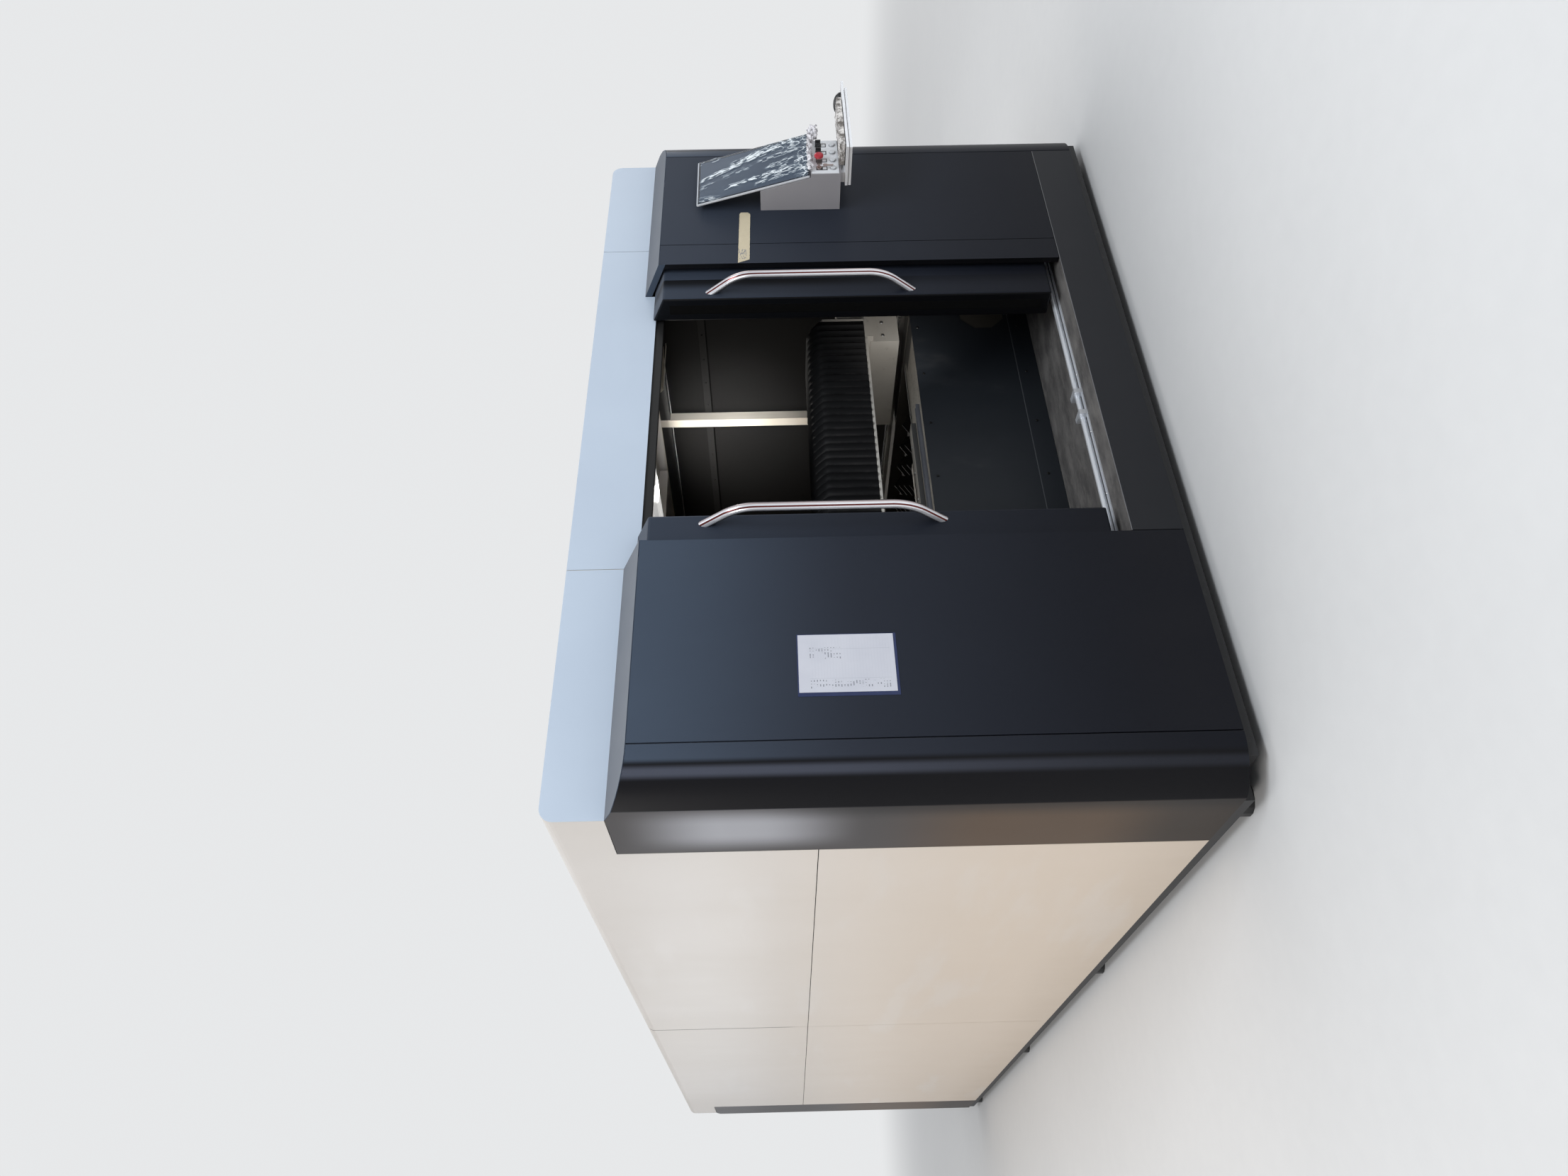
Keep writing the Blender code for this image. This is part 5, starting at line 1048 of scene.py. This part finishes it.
ring_grey = two_tone("button_ring_grey", (0.30, 0.31, 0.32), (0.45, 0.46, 0.47), 500, 2, 0.35)
rings = bmesh.new()
for x in COLUMNS:
    turned([(0.0135, 0.0), (0.0135, 0.0012), (0.0125, 0.0018), (0.0120, 0.0018), (0.0120, 0.0)], 32,
           (x, OUT, LOWER_ROW), toward_front, rings)
piece("push_button_rings", on_face(rings), ring_grey, "cabin", 30)

milky_plastic = two_tone("button_milky_plastic", (0.56, 0.58, 0.60), (0.66, 0.68, 0.70), 300, 2, 0.2)
dress(milky_plastic, "push_button_1", "push_button_2", "push_button_3", "push_button_4")
dress(black_plastic, "left_selector", "right_selector", "keyboard", "mouse")
stop_red = two_tone("stop_button_red", (0.36, 0.016, 0.030), (0.46, 0.026, 0.042), 120, 3, 0.28)
dress(stop_red, "emergency_stop")
key_metal = two_tone("key_nickel", (0.30, 0.22, 0.20), (0.50, 0.42, 0.40), 400, 3, 0.3, Metallic=1.0)
dress(key_metal, "key_switch")

# Second key: it hangs from a wire ring round the first one's neck and stays hanging while that
# one is turned.
RING_RADIUS, WIRE, RING_DROP, RING_STEPS = 0.0115, 0.0007, 0.0065, 28
spare = bmesh.new()
hoops = []
for i in range(RING_STEPS):
    way = Vector((cos(2 * pi * i / RING_STEPS), 0, sin(2 * pi * i / RING_STEPS)))
    core = RING_RADIUS * way - Vector((0, 0, RING_DROP))
    hoops.append([spare.verts.new(core + WIRE * (way * cos(pi * k / 3) + Vector((0, sin(pi * k / 3), 0))))
                  for k in range(6)])
for i in range(RING_STEPS):
    for k in range(6):
        spare.faces.new((hoops[i - 1][k - 1], hoops[i - 1][k], hoops[i][k], hoops[i][k - 1]))
outline = [(-0.0095, -0.0205), (-0.0060, -0.0165), (0.0060, -0.0165), (0.0095, -0.0205), (0.0095, -0.0300),
           (0.0040, -0.0350), (0.0036, -0.0530), (0.0052, -0.0545), (0.0036, -0.0560), (0.0, -0.0600),
           (-0.0036, -0.0560), (-0.0036, -0.0350), (-0.0095, -0.0300)]
flat_body(outline, (-0.0012, 0.0012), spare)
bmesh.ops.translate(spare, vec=(COLUMNS[0], -0.0188, UPPER_ROW), verts=spare.verts)
piece("spare_key", on_face(spare), key_metal, "cabin", 30)

# Monitor: a thin panel in portrait, glass almost to the edge, standing on the console's face and
# still in its crinkled clear film.
monitor_glass = Finish("monitor_glass", Specular_IOR_Level=0.16)
SCREEN_X, SCREEN_Z = 1.2140, 1.5099
beside = abs(monitor_glass.along("X") - SCREEN_X)
above = abs(monitor_glass.along("Z") - SCREEN_Z)
ring = beside.over(0.1400, 0.1406).maths("MAXIMUM", above.over(0.2310, 0.2316))
thin = abs(monitor_glass.facing("X")).over(0.7, 0.9) + abs(monitor_glass.facing("Z")).over(0.7, 0.9)
rim = beside.over(0.1490, 0.1500).maths("MAXIMUM", above.over(0.2385, 0.2395))
haze = monitor_glass.cloud(4, 3)
pane = monitor_glass.mix((0.034, 0.049, 0.076), (0.064, 0.088, 0.128), haze)
pane = monitor_glass.mix(pane, (0.005, 0.006, 0.014), ring)
pane = monitor_glass.mix(pane, (0.50, 0.52, 0.55), rim)
monitor_glass.colour(monitor_glass.mix(pane, (0.55, 0.56, 0.58), thin)).gloss(0.16 + rim * 0.2)
dress(monitor_glass, "monitor")

film = Finish("clear_crinkled_film", Specular_IOR_Level=0.15)
crease = film.add("ShaderNodeAttribute", {"attribute_name": "crease"}, {}, "Fac")
veil = film.cloud(11, 4, 0.6, (1, 1, 0.4)).over(0.50, 0.80)
film.colour(film.mix((0.50, 0.62, 0.72), (0.90, 0.96, 1.0), crease.over(0.1, 0.6))).gloss(0.30)
cover = 0.02 + veil * 0.07 + crease * 0.95
film.lay("Alpha", cover.maths("MINIMUM", 0.97))
film.relief((film.cloud(26, 5, 0.6, (1, 1, 0.3)), 0.003, 0.6))


def sheet_of(points, columns):
    """Open sheet from rows of points."""
    shape = bmesh.new()
    verts = [shape.verts.new(point) for point in points]
    for low in range(0, len(verts) - columns, columns):
        for i in range(low, low + columns - 1):
            shape.faces.new((verts[i], verts[i + 1], verts[i + columns + 1], verts[i + columns]))
    return shape


def crumple(x, y, seed):
    """Height of a crumpled film above what it lies on, from 0 to 1."""
    broad = noise.noise(Vector((x * 22, y * 12, seed))) * 0.5 + 0.5
    return 0.6 * broad + 0.4 * abs(noise.noise(Vector((x * 60, y * 35, seed + 3))))


def smooth(value, low, high):
    """0 at low, 1 at high and a smooth step between."""
    share = min(max((value - low) / (high - low), 0.0), 1.0)
    return share * share * (3 - 2 * share)


# Each fold runs down the pane: where it is across the pane at its start and its end, how far
# below the top it starts and ends, and how strong it is.
FOLDS = ((0.50, 0.80, 0.03, 0.56, 1.0), (0.54, 0.84, 0.10, 0.72, 0.8), (0.20, 0.27, 0.24, 0.86, 1.0),
         (0.25, 0.31, 0.40, 0.90, 0.7), (0.72, 0.92, 0.30, 0.88, 0.9), (0.90, 0.95, 0.02, 0.20, 0.8),
         (0.42, 0.52, 0.62, 0.88, 0.8), (0.06, 0.03, 0.02, 0.22, 0.7), (0.33, 0.40, 0.02, 0.16, 0.5),
         (0.62, 0.70, 0.55, 0.93, 0.7), (0.12, 0.20, 0.52, 0.93, 0.8), (0.36, 0.44, 0.70, 0.95, 0.9),
         (0.78, 0.97, 0.44, 0.70, 0.7), (0.45, 0.56, 0.20, 0.50, 0.5))


def crinkle(w, t):
    """Strength of the folds in the film, 0 to 1, at a share w across the pane and t down it."""
    total = 0.0
    for number, (top, foot, start, end, strength) in enumerate(FOLDS):
        if not start - 0.02 < t < end + 0.02:
            continue
        for thread, weight in enumerate((0.7, 1.0, 0.85, 0.5)):
            seed = number * 7.3 + thread * 2.1
            centre = top + (foot - top) * (t - start) / (end - start) + (thread - 1) * 0.027
            centre += 0.018 * noise.noise(Vector((t * 9, seed, 0)))
            centre += 0.007 * noise.noise(Vector((t * 40, seed, 5)))
            width = 0.0078 + 0.0070 * noise.noise(Vector((t * 30, seed, 9)))
            broken = smooth(noise.noise(Vector((t * 17, seed, 3))), -0.20, 0.12)
            fade = smooth(t, start - 0.02, start + 0.03) * (1 - smooth(t, end - 0.03, end + 0.02))
            line = 1 - smooth(abs(w - centre), width * 0.3, width * 1.8)
            total += line * broken * fade * strength * weight
    foot = max(smooth(t, 0.86, 0.97), smooth(w, 0.66, 0.85) * smooth(t, 0.62, 0.80) * 0.8)
    ridge = 1 - abs(noise.noise(Vector((w * 9 + t * 7, t * 12 - w * 5, 2.0)))) * 9
    fine = 1 - abs(noise.noise(Vector((w * 22 - t * 16, t * 24 + w * 9, 6.0)))) * 7
    total += foot * (0.8 * max(ridge, 0.0) + 0.5 * max(fine, 0.0))
    return min(total, 1.0)


WIDE, TALL, COLUMNS_IN_FILM, ROWS_IN_FILM = 0.302, 0.497, 166, 271
points, strengths = [], []
for j in range(ROWS_IN_FILM):
    for i in range(COLUMNS_IN_FILM):
        w, t = i / (COLUMNS_IN_FILM - 1), 1 - j / (ROWS_IN_FILM - 1)
        crest = crinkle(w, t)
        height = 0.0022 * crumple(w * WIDE, t * TALL, 1.7) + 0.0028 * crest
        points.append((0.004 + WIDE * w, -0.0127 - height, 0.0054 + TALL * (1 - t)))
        strengths.append(crest)
monitor_film = piece("monitor_film", on_face(sheet_of(points, COLUMNS_IN_FILM), STAND), film, "cabin", 60)
marks = monitor_film.data.attributes.new("crease", "FLOAT", "POINT")
marks.data.foreach_set("value", strengths)

# The film's loose foot is gathered in a roll on the ledge under the monitor, its end sticking
# out to the right.
gathered = Finish("gathered_film", Specular_IOR_Level=0.4)
folds = gathered.cloud(55, 6, 0.7, (0.5, 1, 1))
gathered.colour(gathered.mix((0.22, 0.20, 0.215), (0.88, 0.86, 0.89), folds.over(0.36, 0.58))).gloss(0.26)
gathered.lay("Alpha", 0.72 + folds.over(0.4, 0.6) * 0.28)
gathered.relief((folds, 0.004, 0.9))
ROLL_LEFT, ROLL_LENGTH, ROLL_Y, ROLL_Z = 1.066, 0.308, -3.0640, 1.2670
ROLL_STATIONS, ROLL_SIDES = 160, 28
points = []
for i in range(ROLL_STATIONS + 1):
    share = i / ROLL_STATIONS
    tail = smooth(share, 0.62, 0.93)
    girth = 0.0135 + 0.0040 * noise.noise(Vector((share * 12, 0, 4))) + 0.0100 * tail
    girth *= 1 - 0.96 * smooth(share, 0.965, 1.0) - 0.6 * smooth(share, 0.05, 0.0)
    for j in range(ROLL_SIDES + 1):
        angle = 2 * pi * j / ROLL_SIDES
        way = (cos(angle), sin(angle))
        rough = 1 + (0.50 + 0.5 * tail) * noise.noise(Vector((share * 26, way[0] * 1.8, way[1] * 1.8)))
        rough -= (0.34 + 0.4 * tail) * abs(noise.noise(Vector((share * 60, way[0] * 4, way[1] * 4))))
        points.append((ROLL_LEFT + ROLL_LENGTH * share + 0.008 * tail * way[1],
                       ROLL_Y + girth * rough * way[0] * 0.75,
                       ROLL_Z - 0.020 * tail + girth * rough * way[1] * 0.85))
piece("gathered_film", sheet_of(points, ROLL_SIDES + 1), gathered, "cabin", 50)

# Shelf: a folded plate under the console for keyboard and mouse, in white powder coat.  Its
# front lip carries a painted highlight; the keyboard is still in its crumpled wrapping of clear film.
shelf_white = Finish("shelf_white_powder")
# Painted highlight on the front-facing lip.
painted_lip_highlight = shelf_white.facing("Y").over(-0.3, -0.8)
scr = shelf_white.cloud(12, 5)
tone = shelf_white.mix((0.66, 0.645, 0.64), (0.76, 0.75, 0.745), scr)
shelf_white.colour(shelf_white.mix(tone, (0.95, 0.96, 0.98), painted_lip_highlight)).gloss(0.35 + scr * 0.1)
shelf_white.relief((shelf_white.cloud(300, 2), 0.0002, 0.4))
dress(shelf_white, "keyboard_shelf")

keys = Jig("keyboard_keys", {"First": (0.0, 0.0, 0.0), "Columns": 17, "Rows": 5, "Pitch": 0.0185})
pitch = keys.size("Pitch")
columns, rows = keys.size("Columns"), keys.size("Rows")
bed_of_keys = keys.add("GeometryNodeMeshGrid", {}, {"Size X": pitch * (columns - 1), "Vertices X": columns,
                                                    "Size Y": pitch * (rows - 1), "Vertices Y": rows})
moved = keys.add("GeometryNodeTransform", {}, {"Geometry": bed_of_keys, "Translation": keys.size("First")})
cap = keys.add("GeometryNodeMeshCone", {"fill_type": "NGON"},
               {"Vertices": 4, "Radius Top": pitch * 0.48, "Radius Bottom": pitch * 0.62, "Depth": 0.004})
cap = keys.add("GeometryNodeTransform", {}, {"Geometry": cap, "Rotation": (0.0, 0.0, pi / 4)})
keys.end(keys.add("GeometryNodeInstanceOnPoints", {}, {"Points": moved, "Instance": cap}), black_plastic)
keys.run("keyboard_keys", black_plastic, "cabin", smooth=None, First=(1.265, -3.108, 1.1385), Columns=17,
         Rows=5, Pitch=0.0185)

wrapping = Finish("keyboard_wrapping_film", Specular_IOR_Level=0.6)
folds = wrapping.cloud(34, 6, 0.7, (1, 0.5, 1), (3, 0, 0))
wrapping.colour(wrapping.mix((0.19, 0.168, 0.150), (0.92, 0.88, 0.84), folds.over(0.38, 0.60))).gloss(0.2)
wrapping.lay("Alpha", 0.80 + folds.over(0.40, 0.58) * 0.2)
wrapping.relief((folds, 0.003, 0.9))
FILM_LEFT, FILM_FRONT, FILM_WIDE, FILM_DEEP = 1.0965, -3.1600, 0.343, 0.0955
SHELF_TOP, OVER_KEYS, FILM_ACROSS, FILM_ALONG, EDGE = 1.1242, 0.0175, 97, 41, 8
points = []
for j in range(FILM_ALONG):
    for i in range(FILM_ACROSS):
        climb = min(i / EDGE, j / EDGE, 1.0)
        crest = 0.0125 * crumple(i / 96 * 0.5, j / 36 * 0.2, 9)
        points.append((FILM_LEFT + FILM_WIDE * max(i - EDGE, 0) / 88 - 0.3 * crest * (1 - climb),
                       FILM_FRONT + FILM_DEEP * max(j - EDGE, 0) / 32 - 0.25 * crest * (1 - climb),
                       SHELF_TOP + OVER_KEYS * climb + crest * (0.1 + 0.9 * climb)))
piece("keyboard_wrapping", sheet_of(points, FILM_ACROSS), wrapping, "cabin", 50)

# Job sheet: creased paper with a ruled form and a few faint entries, in a thin blue-backed
# plastic sleeve stuck to the left front panel.
sleeve_blue = two_tone("sleeve_dark_blue_plastic", (0.012, 0.02, 0.07), (0.02, 0.035, 0.11), 30, 3, 0.25)
piece("sheet_sleeve", block((-1.316, PANEL - 0.0014, 1.077), (-1.095, PANEL - 0.0001, 1.389), 0.0005, 1),
      sleeve_blue, "cabin", 30)
paper_white = Finish("job_sheet_paper", Specular_IOR_Level=0.2)
down, beside = paper_white.along("Z"), paper_white.along("X")
ROWS_PER_METRE = 108.0
from_middle = abs((down * ROWS_PER_METRE).maths("FRACT") - 0.5)
row_line = from_middle.over(0.455, 0.485) * 0.6
entry = paper_white.cloud(1.0, 2, 0.5, (120, 1, 26)).over(0.52, 0.56) * from_middle.over(0.20, 0.12)
entry = entry * (beside.near(-1.278, 0.018, 0.001)
                 + beside.near(-1.165, 0.020, 0.001) * down.near(1.30, 0.05, 0.002))
column_line = beside.near(-1.255, 0.0005, 0.0004) + beside.near(-1.150, 0.0005, 0.0004)
within = beside.near(-1.2, 0.088, 0.002) * down.near(1.225, 0.125, 0.002)
ink = ((row_line + column_line) * within).maths("MINIMUM", 1.0)
creased = paper_white.cloud(11, 4)
tone = paper_white.mix((0.56, 0.57, 0.63), (0.66, 0.665, 0.715), creased)
tone = paper_white.mix(tone, (0.36, 0.38, 0.43), ink * 0.40)
paper_white.colour(paper_white.mix(tone, (0.10, 0.11, 0.14), entry * within * 0.75)).gloss(0.45)
paper_white.relief((creased, 0.002, 0.3))
piece("job_sheet", block((-1.303, PANEL - 0.0019, 1.086), (-1.098, PANEL - 0.0015, 1.385)), paper_white,
      "cabin")

# Masking tape: one strip of cream crepe paper torn by hand, left over the panel seam beside the
# doorway, with a faint printed patch on it.
tape_cream = Finish("masking_tape")
crepe = tape_cream.cloud(260, 3, 0.6, (0.35, 1, 1))
tone = tape_cream.mix((0.57, 0.485, 0.335), (0.69, 0.605, 0.435), tape_cream.cloud(25, 4))
patch = tape_cream.along("X").near(0.7675, 0.030, 0.004) * tape_cream.along("Z").near(1.5570, 0.0150, 0.003)
printed = patch * tape_cream.cloud(1.0, 3, 0.6, (90, 1, 160)).over(0.50, 0.56)
tape_cream.colour(tape_cream.mix(tone, (0.15, 0.17, 0.22), printed * 0.75)).gloss(0.6)
tape_cream.relief((crepe, 0.0006, 0.6))
TAPE_LEFT_LOW, TAPE_LEFT_HIGH, TAPE_RIGHT = 0.7335, 0.7135, 1.046
tape = bmesh.new()
rows = []
for i in range(61):
    share = i / 60
    torn = 0.0030 * noise.noise(Vector((i * 0.35, 0.2, 5)))
    lift = PANEL - 0.0006 - 0.0009 * abs(noise.noise(Vector((i * 0.25, 1.2, 8))))
    narrow = 0.010 * smooth(share, 0.96, 1.0)
    low = 1.5285 + torn * 0.4 - 0.004 * share + narrow
    high = 1.5765 + torn * 0.4 - 0.006 * share - narrow * 0.6
    rows.append([tape.verts.new((start + (TAPE_RIGHT - start) * share, lift, height))
                 for start, height in ((TAPE_LEFT_LOW, low), (TAPE_LEFT_HIGH, high))])
for (low, high), (next_low, next_high) in zip(rows, rows[1:]):
    tape.faces.new((low, next_low, next_high, high))
piece("masking_tape", tape, tape_cream, "cabin")
